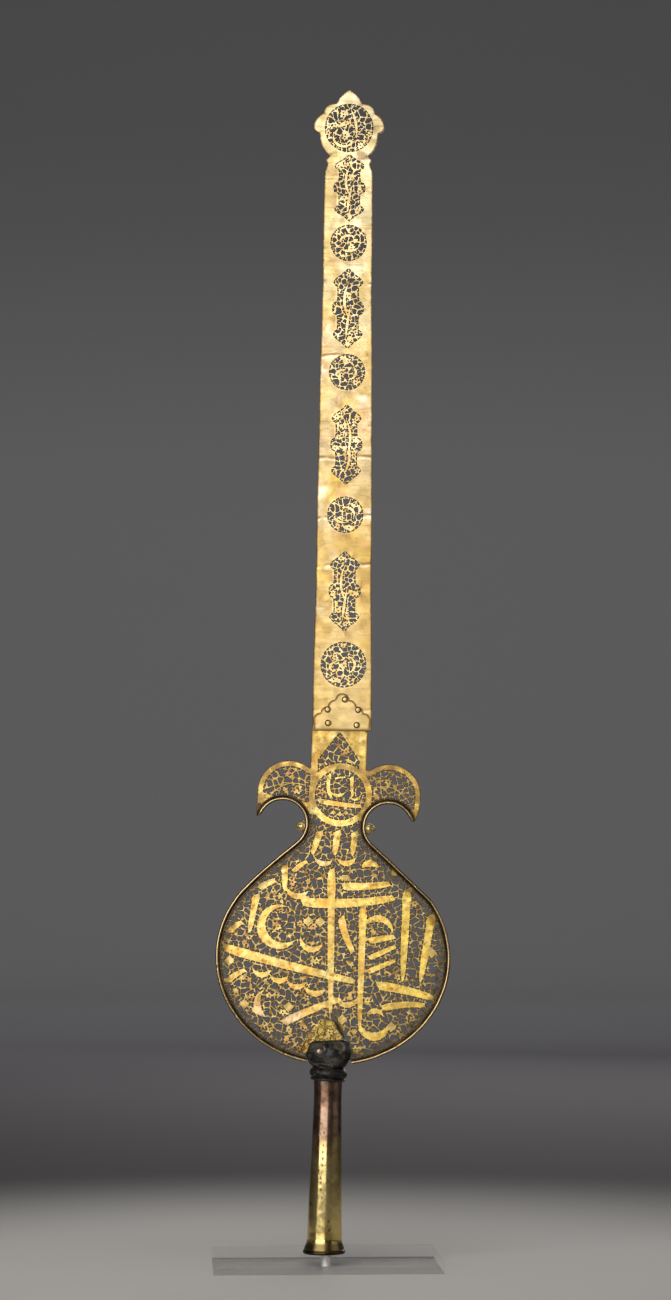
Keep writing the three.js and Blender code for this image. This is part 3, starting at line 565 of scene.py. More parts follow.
def depthIn(grid, outline, most):
    # distance to the outline, positive inside it
    far = farFromLines(grid, [closed(outline)], most)
    inside = np.zeros(grid["shape"], bool)
    ys = grid["ys"]
    for a, b in zip(outline, np.roll(outline, -1, axis=0)):
        rows = np.nonzero((a[1] > ys) != (b[1] > ys))[0]
        if len(rows):
            cross = a[0] + (b[0] - a[0]) * (ys[rows] - a[1]) / (b[1] - a[1])
            inside[rows] ^= grid["xs"][None, :] < cross[:, None]
    return np.where(inside, far, -far)


def drawShape(layer, grid, outline):
    # a filled outline, with its depth worked out only near it
    part, x, y = patchOf(grid, outline.min(0), outline.max(0), 2.5)
    shape = (y.shape[0], x.shape[1])
    near = dict(low=(x[0, 0], y[0, 0]), step=grid["step"], xs=x[0], ys=y[:, 0], shape=shape)
    layer[part] = np.maximum(layer[part], depthIn(near, outline, 9))


# arcs and bends for outlines, all as rows of x and y

def arc(x, y, radiusX, radiusY, start, end, steps):
    turns = np.radians(np.linspace(start, end, steps + 1))
    return np.stack([x + radiusX * np.cos(turns), y + radiusY * np.sin(turns)], 1)


def hole(centre, radius, sides):
    return arc(*centre, radius, radius, 360, 360 / sides, sides - 1)


def bend(a, control, b, steps):
    t = np.linspace(0, 1, steps + 1)[:, None]
    return (1 - t) ** 2 * np.array(a) + 2 * t * (1 - t) * np.array(control) + t * t * np.array(b)


def flip(points):
    return points * np.array([-1, 1])


def closed(loop):
    return np.vstack([loop, loop[:1]])


def unit(ways):
    return ways / np.maximum(np.hypot(*ways.T), 1e-9)[:, None]


def leftOf(ways):
    return np.stack([-ways[:, 1], ways[:, 0]], 1)


def evenly(points, pitch):
    length = np.concatenate([[0], np.cumsum(np.hypot(*np.diff(points, axis=0).T))])
    along = np.linspace(0, length[-1], int(length[-1] / pitch) + 1)
    return np.stack([np.interp(along, length, points[:, k]) for k in (0, 1)], 1), along


# the vine that fills the pierced grounds

discVine = dict(
    seed=11,
    cell=8.2,                # pitch of the openings, mm
    netHalf=1.0,             # half width of a tie before rounding, and how much it varies
    netVary=0.2,
    round=0.45,              # how far the corners of the openings are rounded
    flowerPitch=23,
    flowerRadius=4.4,
    stemHalf=0.95,
    stemLength=13,
    leaf=4.6,
    leafHalf=1.6,
    sprigs=1100,             # tries at a leaf, of which those on a tie are drawn
    moat=1.0,                # openings run this wide along strokes, bands and flowers
    tiePitch=6.5,            # and are crossed by ties this far apart
    tieHalf=0.85,
)
bladeVine = dict(
    seed=29,
    cell=6.8,
    netHalf=0.82,
    netVary=0.14,
    round=0.36,
    flowerPitch=15,
    flowerRadius=3.9,
    stemHalf=0.8,
    stemLength=10,
    leaf=3.8,
    leafHalf=1.3,
    sprigs=1100,
    moat=0.8,
    tiePitch=5.5,
    tieHalf=0.72,
)
leafWidths = (0.45, 0.8, 1.0, 0.85, 0.5, 0.12)


def netOfCells(grid, look, rng):
    # distance to the edges of uneven cells, bent by slow waves so that no tie is straight
    x, y, cell = grid["x"], grid["y"], look["cell"]
    wave = cell * 0.22
    length = cell * 2.3
    phase = rng.uniform(0, 2 * math.pi, 4)
    bentX = x + wave * np.sin(y / length * 2.1 + phase[0]) + wave * np.sin((x + y) / length * 3.7 + phase[1])
    bentY = y + wave * np.sin(x / length * 2.3 + phase[2]) + wave * np.sin((x - y) / length * 3.3 + phase[3])
    column, row = [np.floor(bent / cell).astype(int) for bent in (bentX, bentY)]
    size = 97                                   # cells before the jitter repeats
    jitter = rng.uniform(0.12, 0.88, (2, size, size))

    def seedsWithin(reach):
        for dc in range(-reach, reach + 1):
            for dr in range(-reach, reach + 1):
                c, r = column + dc, row + dr
                seedX = (c + jitter[0][c % size, r % size]) * cell
                seedY = (r + jitter[1][c % size, r % size]) * cell
                yield seedX, seedY, (seedX - bentX) ** 2 + (seedY - bentY) ** 2

    nearest = blank(grid, 1e9)
    nearX = nearY = blank(grid, 0)
    for seedX, seedY, far in seedsWithin(1):
        closer = far < nearest
        nearX = np.where(closer, seedX, nearX)
        nearY = np.where(closer, seedY, nearY)
        nearest = np.where(closer, far, nearest)
    edge = blank(grid, 50)
    for seedX, seedY, far in seedsWithin(2):
        gap = np.hypot(seedX - nearX, seedY - nearY)
        toEdge = np.where(gap > 1e-6, (far - nearest) / np.maximum(2 * gap, 1e-6), 50)
        edge = np.minimum(edge, toEdge)
    return edge


def onWay(base, reach, turn):
    return (base[0] + reach * math.cos(turn), base[1] + reach * math.sin(turn))


def drawLeaf(layer, grid, look, base, way, curl, size=1.0):
    length = look["leaf"] * size
    points = [onWay(base, length * t, way + curl * t) for t in np.arange(6) / 5]
    drawStroke(layer, grid, points, [look["leafHalf"] * size * w for w in leafWidths])


def drawFlower(layer, cuts, grid, centre, radius, petals, start):
    for i in range(petals):
        petal = [onWay(centre, radius * far, start + 2 * math.pi * i / petals) for far in (0.55, 0.8)]
        drawStroke(layer, grid, petal, [radius * 0.34, radius * 0.32])
    drawDot(layer, grid, centre, radius * 0.5)
    cutDot(cuts, grid, centre, radius * 0.15)


def drawTendril(layer, grid, look, start, way, curl, length, leafSide):
    # a stem that winds in, with leaves to either side by turns
    steps = 12
    points = [start]
    for i in range(steps):
        way += curl * (1 + 0.8 * i / steps)
        points.append(onWay(points[-1], length / steps, way))
        if i in (4, 8):
            side = leafSide if i == 4 else -leafSide
            drawLeaf(layer, grid, look, points[-1], way + side * 0.9, -side * 0.7, 1.0 - 0.02 * i)
    drawStroke(layer, grid, points, [look["stemHalf"] * (1 - 0.3 * i / steps) for i in range(steps + 1)])
    drawDot(layer, grid, points[-1], look["stemHalf"] * 1.7)


def softened(layer, reach):
    # a blur over the grid, which rounds the corners of the openings
    size = int(math.ceil(reach * 3))
    kernel = np.exp(-0.5 * (np.arange(-size, size + 1) / reach) ** 2)
    kernel /= kernel.sum()
    for axis in (0, 1):
        shifts = range(-size, size + 1)
        layer = sum(share * np.roll(layer, shift, axis) for share, shift in zip(kernel, shifts))
    return layer


def drawTies(layer, grid, field, look):
    # short ties across the openings that run along the edge of a field
    for loop in loopsOf(grid, field):
        if len(loop) >= 16:
            points = evenly(closed(loop), look["tiePitch"])[0][:-1]
            across = unit(leftOf(np.roll(points, -1, axis=0) - np.roll(points, 1, axis=0)))
            for spot, way in zip(points, across * (look["moat"] + 1.5)):
                drawStroke(layer, grid, [spot + way, spot - way], [look["tieHalf"]] * 2)


def drawFlowers(stalks, petals, cuts, grid, room, look, rng):
    # flowers in uneven rows wherever they fit, each with two or three winding stems
    pitch = look["flowerPitch"]
    lowX, lowY = grid["low"]
    for row in range(int((grid["ys"][-1] - lowY) / (pitch * 0.87)) + 2):
        for column in range(int((grid["xs"][-1] - lowX) / pitch) + 2):
            shift = rng.uniform(-0.3, 0.3, 2)
            start = rng.uniform(0, 2 * math.pi)
            size = rng.uniform(0.85, 1.1)
            petalCount = int(rng.integers(5, 7))
            stems = int(rng.integers(2, 4))
            curls = rng.uniform(0.1, 0.28, stems) * rng.choice([-1, 1], stems)
            reach = rng.uniform(0.8, 1.2, stems)
            sides = rng.choice([-1, 1], stems)
            across = lowX + pitch * (column + 0.5 * (row % 2) + shift[0])
            spot = (across, lowY + pitch * 0.87 * (row + shift[1]))
            j, i = [int(round((spot[k] - grid["low"][k]) / grid["step"])) for k in (0, 1)]
            inside = 0 <= i < grid["shape"][0] and 0 <= j < grid["shape"][1]
            if inside and room[i, j] >= look["flowerRadius"] * 0.8:
                for k in range(stems):
                    way = start + 2 * math.pi * k / stems
                    length = look["stemLength"] * reach[k]
                    drawTendril(stalks, grid, look, spot, way, curls[k], length, sides[k])
                drawFlower(petals, cuts, grid, spot, look["flowerRadius"] * size, petalCount, start)


def drawSprigs(leaves, grid, net, look, rng):
    # leaves that stand on the ties of the net
    slopeY, slopeX = np.gradient(net)
    for _ in range(look["sprigs"]):
        i, j = [int(rng.integers(0, count)) for count in grid["shape"]]
        turn, curl = rng.uniform(-0.8, 0.8), rng.uniform(-1.3, 1.3)
        size = rng.uniform(0.7, 1.1)
        if abs(net[i, j] - 0.4) < 0.4:
            way = math.atan2(-slopeY[i, j], -slopeX[i, j]) + turn
            drawLeaf(leaves, grid, look, (grid["xs"][j], grid["ys"][i]), way, curl, size)


def growVine(grid, room, bold, look):
    # the ground's metal: ties between uneven cells with leaves on them, and flowers on winding stems
    rng = np.random.default_rng(look["seed"])
    leaves, stalks, petals, ties = [blank(grid, -9) for _ in range(4)]
    cuts = blank(grid, 9)
    x, y, moat = grid["x"], grid["y"], look["moat"]
    phase = rng.uniform(0, 6.28, 4)
    vary = np.sin(x / 5.1 + y / 9.7 + phase[0]) + np.sin(y / 4.3 - x / 11.3 + phase[1])
    vary = vary + np.sin(x / 8.9 + phase[2])
    net = look["netHalf"] + look["netVary"] * vary / 3 - netOfCells(grid, look, rng)
    free = np.minimum(room, -bold)
    drawFlowers(stalks, petals, cuts, grid, free, look, rng)
    drawSprigs(leaves, grid, net, look, rng)
    drawTies(ties, grid, bold, look)
    drawTies(ties, grid, room, look)
    metal = softened(np.maximum(leaves, net), look["round"] / grid["step"])
    metal = np.minimum(np.minimum(metal, free - moat), -petals - moat)
    metal = np.maximum(metal, np.maximum(ties, np.minimum(stalks, free - moat)))
    petals = np.minimum(petals, free - moat + 0.4)
    metal = np.minimum(np.maximum(metal, petals), cuts)
    print("share of metal in the pierced ground", round(float(np.mean(metal[room > 0] > 0)), 3))
    return metal, petals


# from a field to the openings' outlines

def loopsOf(grid, field):
    # closed loops where the field changes sign; each side of a cell is an edge's kind and its row and column
    south, east, north, west = (0, 0, 0), (1, 0, 1), (0, 1, 0), (1, 0, 0)
    runs = {
        1: [(west, south)], 2: [(south, east)], 3: [(west, east)], 4: [(east, north)],
        5: [(west, south), (east, north)], 6: [(south, north)], 7: [(west, north)], 8: [(north, west)],
        9: [(north, south)], 10: [(south, east), (north, west)], 11: [(north, east)], 12: [(east, west)],
        13: [(east, south)], 14: [(south, west)],
    }
    solid = field > 0
    corner = solid[:-1, :-1] + 2 * solid[:-1, 1:] + 4 * solid[1:, 1:] + 8 * solid[1:, :-1]
    after = {}
    for i, j in np.argwhere((corner > 0) & (corner < 15)).tolist():
        for a, b in runs[int(corner[i, j])]:
            after[a[0], i + a[1], j + a[2]] = (b[0], i + b[1], j + b[2])
    loops = []
    while after:
        first, here = after.popitem()
        keys = [first]
        while here != first and here in after:
            keys.append(here)
            here = after.pop(here)
        upright, i, j = np.array(keys).T
        a = field[i, j]
        share = a / (a - field[i + upright, j + 1 - upright])
        x = grid["low"][0] + grid["step"] * (j + (1 - upright) * share)
        y = grid["low"][1] + grid["step"] * (i + upright * share)
        loops.append(np.stack([x, y], 1))
    return loops


def areaOf(loop):
    x, y = loop.T
    return 0.5 * float(np.sum(x * np.roll(y, -1) - y * np.roll(x, -1)))


def thinned(loop, slack):
    # drops points that lie within the slack of the line between those kept
    keep = np.zeros(len(loop), bool)
    far = int(np.argmax(np.hypot(*(loop - loop[0]).T)))
    keep[[0, far]] = True
    ring = closed(loop)
    stack = [(0, far), (far, len(loop))]
    while stack:
        a, b = stack.pop()
        if b - a < 2:
            continue
        x, y = (ring[a + 1:b] - ring[a]).T
        dx, dy = ring[b] - ring[a]
        length = math.hypot(dx, dy)
        gap = np.hypot(x, y) if length < 1e-9 else np.abs(x * dy - y * dx) / length
        most = int(np.argmax(gap))
        if gap[most] > slack:
            keep[a + 1 + most] = True
            stack += [(a, a + 1 + most), (a + 1 + most, b)]
    return loop[keep]


def crossesItself(loop):
    ahead = np.roll(loop, -1, axis=0) - loop
    gap = loop[None, :, :] - loop[:, None, :]
    turn = ahead[:, None, 0] * gap[..., 1] - ahead[:, None, 1] * gap[..., 0]
    parted = turn * np.roll(turn, -1, axis=1) < 0
    return bool(np.any(parted & parted.T))


def openingsOf(grid, field, smallest, slack):
    openings = []
    for loop in loopsOf(grid, field):
        if len(loop) > 5 and areaOf(loop) > smallest:      # a loop the other way round is a loose island
            opening = thinned(loop[::-1], slack)
            openings.append(loop[::-1] if crossesItself(opening) else opening)
    openings = [opening for opening in openings if len(opening) > 3]
    print(len(openings), "openings with", sum(map(len, openings)), "points")
    return openings


# a sheet with its openings, as one closed body with eased front edges

def sampler(grid, layer, low=0.0, high=1.0):
    # reads a layer at points, as a share of the way from low to high
    def read(points):
        spots = [np.round((points[:, k] - grid["low"][k]) / grid["step"]).astype(int) for k in (1, 0)]
        i, j = [np.clip(spot, 0, count - 1) for spot, count in zip(spots, grid["shape"])]
        return np.clip((layer[i, j] - low) / (high - low), 0, 3)
    return read


# the mark for a painted shade line along an outline
def edgeMark(grid, depth, width):
    return ("outlineShade", sampler(grid, width - depth, 0.0, width * 0.5))


def drawnIn(loop, amount, metal=None):
    # shifts each point of a loop into the metal on the left of its run, and less where the metal is thin
    back = unit(loop - np.roll(loop, 1, axis=0))
    ahead = unit(np.roll(loop, -1, axis=0) - loop)
    way = leftOf(unit(back + ahead))
    if metal:
        half = np.max([metal(loop + way * reach) for reach in (0.3, 0.7, 1.1)], axis=0)
        half = (np.roll(half, 1) + half + np.roll(half, -1)) / 3
        amount = np.minimum(amount, 0.7 * np.maximum(half, 0.2))[:, None]
    return loop + amount * way


def innerPoints(grid, solid, outlineDepth, pitch, outlineShade=0.0, outline=None):
    # points inside the metal, so that long faces are broken up, and two rows of them inside an edge that
    # carries the painted shade line
    every = max(1, int(pitch / grid["step"]))
    rows, columns = [np.arange(every // 2, count, every) for count in grid["shape"]]
    i, j = np.meshgrid(rows, columns, indexing="ij")
    good = (solid[i, j] > 1.6) & (outlineDepth[i, j] > 1.6 + outlineShade)
    points = np.stack([grid["xs"][j[good]], grid["ys"][i[good]]], 1)
    for reach in (outlineShade * 0.5, outlineShade) if outlineShade else ():
        row = drawnIn(evenly(closed(outline), 1.2)[0][:-1], reach)
        deep = sampler(grid, outlineDepth)(row)
        clear = sampler(grid, solid)(row)
        points = np.vstack([points, row[(deep > reach * 0.85) & (clear > 0.4)][::2]])
    return points


def sheetPiece(name, place, loops, inner, front, look, marks=(), bow=None, metal=None):
    # the loops are the outline and its holes; front is the depth of the front face
    flat = np.vstack(loops + [inner])
    eased = np.vstack([drawnIn(loop, look["ease"], metal) for loop in loops] + [inner])
    starts = np.cumsum([0] + [len(loop) for loop in loops])
    rings = [list(range(a, b)) for a, b in zip(starts[:-1], starts[1:])]
    turned = rings[:1] + [ring[::-1] for ring in rings[1:]]     # the filling wants them all anticlockwise
    result = delaunay_2d_cdt([Vector(p) for p in flat], [], turned, 1, 1e-5, True)
    places, _, faces, sources, _, owners = result
    renumber = []
    added = []
    for spot, source in zip(places, sources):
        if not source:
            added.append(tuple(spot))                           # a point where two edges met
        renumber.append(source[0] if source else len(flat) + len(added) - 1)
    if added:
        flat = np.vstack([flat, added])
        eased = np.vstack([eased, added])
    count = len(flat)
    ringCount = starts[-1]
    lift = bow(flat) if bow else np.zeros(count)
    frontPoints = np.stack([eased[:, 0], front + lift, eased[:, 1]], 1)
    shoulderPoints = np.stack([flat[:, 0], front + look["ease"] + lift, flat[:, 1]], 1)
    backPoints = np.stack([flat[:, 0], front + look["thickness"] + lift, flat[:, 1]], 1)
    vertices = np.vstack([frontPoints, backPoints, shoulderPoints[:ringCount]])
    polygons = []
    for face, owner in zip(faces, owners):
        if owner == [0]:
            a, b, c = [renumber[v] for v in face]
            polygons.append((a, b, c))
            polygons.append((c + count, b + count, a + count))
    for ring in rings:
        for a, b in zip(ring, ring[1:] + ring[:1]):
            shoulderA = 2 * count + a
            shoulderB = 2 * count + b
            polygons.append((b, a, shoulderA, shoulderB))
            polygons.append((shoulderB, shoulderA, a + count, b + count))
    thing = linkMesh(name, inMetres(place, vertices), polygons, smooth=False)
    for mark, sample in marks:
        values = np.minimum(sample(flat), 1)
        putMark(thing, mark, np.concatenate([values, values, values[:ringCount]]))
    return thing


# body sheet: disc, neck, ring medallion, horns and tang

body = dict(
    thickness=2.4,
    discWidth=282,
    discHeight=258,
    shoulderAngle=34,
    hollowRadius=27.5,
    hollowOut=63.5,
    hollowUp=159.3,
    hollowEntry=229,
    hollowTip=14,
    neckShift=-3,
    hornRadius=38.2,
    hornOut=60,
    hornUp=196.5,
    hornBand=7,
    hornStart=-5,
    hornEnd=128,
    ringRadius=38.4,
    ringBand=8.2,
    ringOut=1.5,
    ringUp=195.8,
    tangWidth=67.2,
    tangShift=-2,
    tangTop=272.6,
    tangFoot=25,             # the plain tang starts this far under the ring's middle
    lapLength=44,
    arrowheadWidth=49,
    arrowheadShoulder=1.08,  # its height over the ring's middle, in radii of the ring
    lozenge=7,
    ringLozenge=3.6,
    hornSweepHalf=1.1,
    sheetInset=5.08,
    sheetFootOut=18,
    plainEdge=1.9,           # left unpierced along the outline and under the clasp
    claspHalf=24.0,
    claspTop=40.5,
    step=0.5,                # grid of the openwork
    smallest=1.0,            # smallest opening, square mm
    slack=0.06,
    ease=0.55,
    crackHalf=1.0,
    outlineShade=2.2,               # width of the painted shade line along the outline
)


def rimEdge(side, inset, startOut, steps):
    halfWidth = body["discWidth"] / 2 - inset
    halfHeight = body["discHeight"] / 2 - inset
    startAngle = -90 + math.degrees(math.asin(startOut / halfWidth))
    disc = arc(0, 0, halfWidth, halfHeight, startAngle, body["shoulderAngle"], steps)
    radius = body["hollowRadius"] + inset
    hollowX = body["hollowOut"] + side * body["neckShift"]
    hollow = arc(hollowX, body["hollowUp"], radius, radius, body["hollowEntry"], body["hollowTip"], steps)
    # the flank between them leaves both along their own run
    up = math.radians(body["shoulderAngle"])
    down = math.radians(body["hollowEntry"])
    rise = np.array([-halfWidth * math.sin(up), halfHeight * math.cos(up)])
    fall = np.array([-math.sin(down), math.cos(down)])
    gap = hollow[0] - disc[-1]
    across = (gap[0] * fall[1] - gap[1] * fall[0]) / (rise[0] * fall[1] - rise[1] * fall[0])
    flank = bend(disc[-1], disc[-1] + rise * across, hollow[0], steps // 3)[1:-1]
    points = np.vstack([disc, flank, hollow])
    return flip(points) if side < 0 else points


def hornEdge(side, tip):
    radius = body["hornRadius"]
    crown = arc(body["hornOut"], body["hornUp"], radius, radius, body["hornStart"], body["hornEnd"], 40)
    start = np.array([side * tip[0], tip[1]])
    control = (body["hornOut"] + radius, (tip[1] + crown[0][1]) / 2)
    points = np.vstack([bend(start, control, crown[0], 10)[1:-1], crown])
    return flip(points) if side < 0 else points


def bodySide(side):
    edge = rimEdge(side, body["sheetInset"], body["sheetFootOut"], 60)
    half = body["tangWidth"] / 2
    foot = body["hornUp"] + body["hornRadius"] * math.sin(math.radians(body["hornEnd"]))
    tangX = side * half + body["tangShift"]
    lapX = side * (half - 2) + body["tangShift"]
    top = body["tangTop"]
    tang = np.array([(tangX, foot), (tangX, top - 0.3), (lapX, top), (lapX, top + body["lapLength"])])
    return np.vstack([edge, hornEdge(side, edge[-1]), tang])


# Bold strokes in rows. Places are hundredths of the disc's half width and half height, half widths are mm.
# Each look gives the width along a stroke and how far its two ends are cut askew.

strokeLooks = dict(
    upright=([(0, 0.75), (0.10, 1.18), (0.17, 0.92), (0.6, 0.86), (0.9, 0.62), (1, 0.2)], 0.9, -0.5),
    sweep=([(0, 0.85), (0.12, 1.05), (0.6, 0.92), (0.9, 0.8), (1, 0.6)], 0.8, 0.6),
    moon=([(0, 0.15), (0.25, 0.7), (0.55, 1.0), (0.8, 0.75), (1, 0.12)], 0.0, 0.0),
    dash=([(0, 0.6), (0.3, 1.0), (0.7, 0.95), (1, 0.5)], 0.6, 0.6),
)
units = np.array([body["discWidth"], body["discHeight"]]) / 200
ringX, ringY = body["ringOut"], body["ringUp"]


def ribbon(points, half, look):
    # outline of a stroke along a run of points
    knots, startSkew, endSkew = strokeLooks[look]
    halves = half * np.interp(np.linspace(0, 1, len(points)), *np.array(knots).T)
    ahead = unit(np.gradient(points, axis=0))
    left = leftOf(ahead) * halves[:, None]
    a = points + left
    b = points - left
    a[0] -= ahead[0] * halves[0] * startSkew
    b[0] += ahead[0] * halves[0] * startSkew * 0.4
    a[-1] -= ahead[-1] * halves[-1] * endSkew * 0.4
    b[-1] += ahead[-1] * halves[-1] * endSkew
    return np.vstack([b, a[::-1]])


def bar(x0, y0, x1, y1, half, look="sweep", bow=0.0):
    a, b = np.array([(x0, y0), (x1, y1)]) * units
    side = np.array([-(b - a)[1], (b - a)[0]]) * bow
    return ribbon(bend(a, (a + b) / 2 + side, b, 16), half, look)


def moon(x, y, radius, start, end, half):
    wide = radius * units[0]
    return ribbon(arc(*(x, y) * units, wide, wide, start, end, 26), half, "moon")


def ringBar(a, control, b, half, look, steps=14):
    middle = np.array([ringX, ringY])
    return ribbon(bend(middle + a, middle + control, middle + b, steps), half, look)


boldStrokes = [
    # under the ring
    bar(-15, 117, -21, 95, 4.6, "upright"),
    bar(0, 118, -2, 95, 5.0, "upright"),
    bar(15, 118, 13, 95, 4.6, "upright"),
    moon(-10.5, 97, 9, 200, 320, 3.8),
    moon(8, 98, 9, 210, 335, 4.0),
    bar(-36, 79, -25, 89, 3.2, "sweep", 0.1),
    # upper row
    bar(-4, 82, 0, -58, 5.2, "upright"),
    bar(-44, 84, -43, 60, 4.6, "upright"),
    moon(-32, 67, 10, 190, 330, 4.2),
    bar(-65, 62, -51, 70, 4.4, "sweep", 0.1),
    bar(-28, 51, 50, 58, 6.0, "sweep", -0.07),
    bar(6, 67, 46, 71, 5.0, "sweep", -0.06),
    moon(29, 80, 8.5, 30, 150, 4.8),
    bar(47, 79, 56, 84, 3.4, "dash"),
    bar(61, 66, 60, -20, 5.6, "upright"),
    bar(83, 44, 75, -20, 5.6, "upright"),
    # middle row
    bar(-67, 56, -72, 20, 4.8, "upright"),
    moon(-45, 28, 17, 75, 318, 6.2),
    bar(-89, 20, -78, 30, 4.0, "sweep", 0.15),
    moon(-18, 18, 10, 170, 335, 4.2),
    bar(6, 38, 17, 6, 4.8, "sweep", -0.1),
    bar(24, 48, 25, -68, 5.0, "upright"),
    moon(37, 24, 13, 5, 150, 4.8),
    bar(30, 17, 52, 22, 4.2),
    bar(31, 1, 53, 13, 3.6),
    bar(30, -12, 53, 0, 3.6),
    # lower row
    bar(-93, 6, 19, -21, 5.8, "sweep", -0.02),
    bar(-89, -26, -74, -14, 3.8, "sweep", 0.1),
    moon(-60, -9, 8.5, 200, 335, 4.0),
    moon(-45, -14, 8.5, 200, 335, 4.0),
    moon(-30, -19, 8.5, 200, 335, 4.0),
    moon(-14, -23, 10, 200, 330, 4.2),
    bar(39, -24, 87, -34, 5.6, "sweep", 0.05),
    bar(44, -45, 80, -41, 4.4, "sweep", 0.1),
    # foot
    moon(-50, -44, 13, 125, 250, 5.0),
    bar(-40, -62, 8, -38, 5.0, "sweep", 0.04),
    moon(13, -33, 9.5, 200, 345, 4.0),
    moon(37, -58, 12.5, 185, 350, 5.8),
    moon(38, -56, 7.5, 20, 160, 3.8),
    # in the ring, in mm from its middle
    ringBar((-26, -8), (0, -12), (26, -13), 3.4, "sweep"),
    ringBar((-14, 24), (-17, 8), (-12, -3), 3.0, "upright"),
    ribbon(arc(ringX - 3, ringY + 8, 10, 9, 205, 330, 14), 2.6, "moon"),
    ringBar((13, 22), (13, 8), (15, -2), 2.8, "upright"),
    ringBar((-7, 19), (0, 22), (6, 21), 1.6, "sweep", 10),
    ribbon(arc(ringX + 17, ringY + 3, 8, 8, 215, 350, 12), 2.2, "moon"),
]
lozengePlaces = [
    (-22, 33), (-12, 33), (-88, -6), (-74, -46), (-63, -51), (-36, -47), (52, -62), (10, -57), (84, 8),
]
crackPath = np.array([
    (1, -53), (2.1, -55), (5.7, -60.6), (9.6, -68.2), (13.3, -74.3), (16.5, -80.4), (17.8, -86), (18, -92),
]) * units


# grime and painted shade under the clasp, painted shade along the crack and beside the rims
grimeAndShadeZones = dict(
    claspAcross=4.4,
    claspHalf=26,
    claspTop=-106,
    fade=6,
    crackReach=3.2,
    rimReach=10.4,
    rimShare=0.75,
)


def bodySheet():
    outline = np.vstack([bodySide(1), bodySide(-1)[::-1]])
    grid = makeGrid(outline, 3, body["step"])
    x, y = grid["x"], grid["y"]
    depth = depthIn(grid, outline, 14)
    tip = rimEdge(1, body["sheetInset"], body["sheetFootOut"], 60)[-1]
    ringFar = np.hypot(x - ringX, y - ringY)
    inner = body["ringRadius"] - body["ringBand"]

    # where the ground may be pierced, as room to the nearest plain band
    fromHorns = farFromLines(grid, [hornEdge(1, tip), hornEdge(-1, tip)], 14) - body["hornBand"]
    room = np.minimum(depth - body["plainEdge"], fromHorns)
    tangSide = np.abs(x - body["tangShift"]) - body["tangWidth"] / 2
    above = y > body["hollowUp"] + 20
    underTang = ringY - body["tangFoot"] - y
    room = np.where(above, np.minimum(room, np.maximum(tangSide, underTang)), room)
    room = np.minimum(room, ringFar - body["ringRadius"])
    half = body["arrowheadWidth"] / 2
    shoulder = ringY + body["ringRadius"] * body["arrowheadShoulder"]
    point = (0, body["tangTop"] - 1)
    arrowhead = np.array([(-half, ringY), (half, ringY), (half, shoulder), point, (-half, shoulder)])
    arrowRoom = depthIn(grid, arrowhead + (body["tangShift"], 0), 14)
    room = np.maximum(room, np.minimum(arrowRoom, ringFar - body["ringRadius"]))
    room = np.maximum(room, inner - ringFar)
    claspTop = body["claspTop"] - standing["discUp"]
    room = np.minimum(room, -np.minimum(body["claspHalf"] - np.abs(x), claspTop - 1 - y))

    bold, lozenge, thin = [blank(grid, -9) for _ in range(3)]
    for stroke in boldStrokes:
        drawShape(bold, grid, stroke)
    for place in lozengePlaces:
        drawLozenge(lozenge, grid, place * units, body["lozenge"])
    for k in (-1, 0, 1):
        drawLozenge(lozenge, grid, (ringX + k * 7.5, ringY - 23 + abs(k) * 1.6), body["ringLozenge"])
    for side in (-1, 1):
        hornSweep = bend((side * 42, ringY + 10), (side * 66, ringY + 18), (side * 84, ringY - 6), 14)
        drawStroke(thin, grid, hornSweep, [body["hornSweepHalf"]] * 15)
    marks = np.maximum(bold, lozenge)
    vine, petals = growVine(grid, room, marks, discVine)
    crack = farFromLines(grid, [crackPath], 9)
    metal = np.max([vine, thin, marks, -room], axis=0)
    metal = np.minimum(metal, crack - body["crackHalf"])

    # the plain bands take a browner tone with painted shade, more on the horns and the ring than on the tang
    onRing = (ringFar < body["ringRadius"] + 1) & (ringFar > inner - 1)
    beside = tangSide > 0
    brownedAndShaded = np.where(onRing | beside, 1.0, 0.75)
    brownedAndShaded = np.where(above, brownedAndShaded, 0.0) * np.where(room < 0.6, 1.0, 0.95 * beside)
    # darkened under the clasp (grime and painted shade), along the crack and beside the rims (painted shade)
    fromClasp = np.maximum(np.abs(x - grimeAndShadeZones["claspAcross"]) - grimeAndShadeZones["claspHalf"], 0)
    nearClasp = np.clip(1.2 - fromClasp / grimeAndShadeZones["fade"], 0, 1)
    nearClasp = nearClasp * np.clip((grimeAndShadeZones["claspTop"] - y) / grimeAndShadeZones["fade"], 0, 1)
    shadeBesideRim = np.where(above, 0.0, grimeAndShadeZones["rimShare"] * np.clip((grimeAndShadeZones["rimReach"] - depth) / 2.2, 0, 1))
    grimeAndShade = np.max([nearClasp, np.clip(grimeAndShadeZones["crackReach"] - crack, 0, 1), shadeBesideRim], axis=0)
    thing = sheetPiece(
        "discOpenwork", bodyPlace, [outline] + openingsOf(grid, metal, body["smallest"], body["slack"]),
        innerPoints(grid, metal, depth, 9, body["outlineShade"], outline), -body["thickness"] / 2, body,
        [("stroke", sampler(grid, np.maximum(bold, -room + 0.4), -0.6, 0.4)),
         ("lozenge", sampler(grid, lozenge, -0.6, 0.2)),
         ("petal", sampler(grid, petals, -0.4, 0.2)),
         ("brownedAndShaded", sampler(grid, brownedAndShaded)),
         edgeMark(grid, depth, body["outlineShade"]),
         ("grimeAndShade", sampler(grid, grimeAndShade))],
        metal=sampler(grid, metal),
    )
    handIn(thing, "warm_gilt", "body_sheet")


bodySheet()


# blade with its lobed head

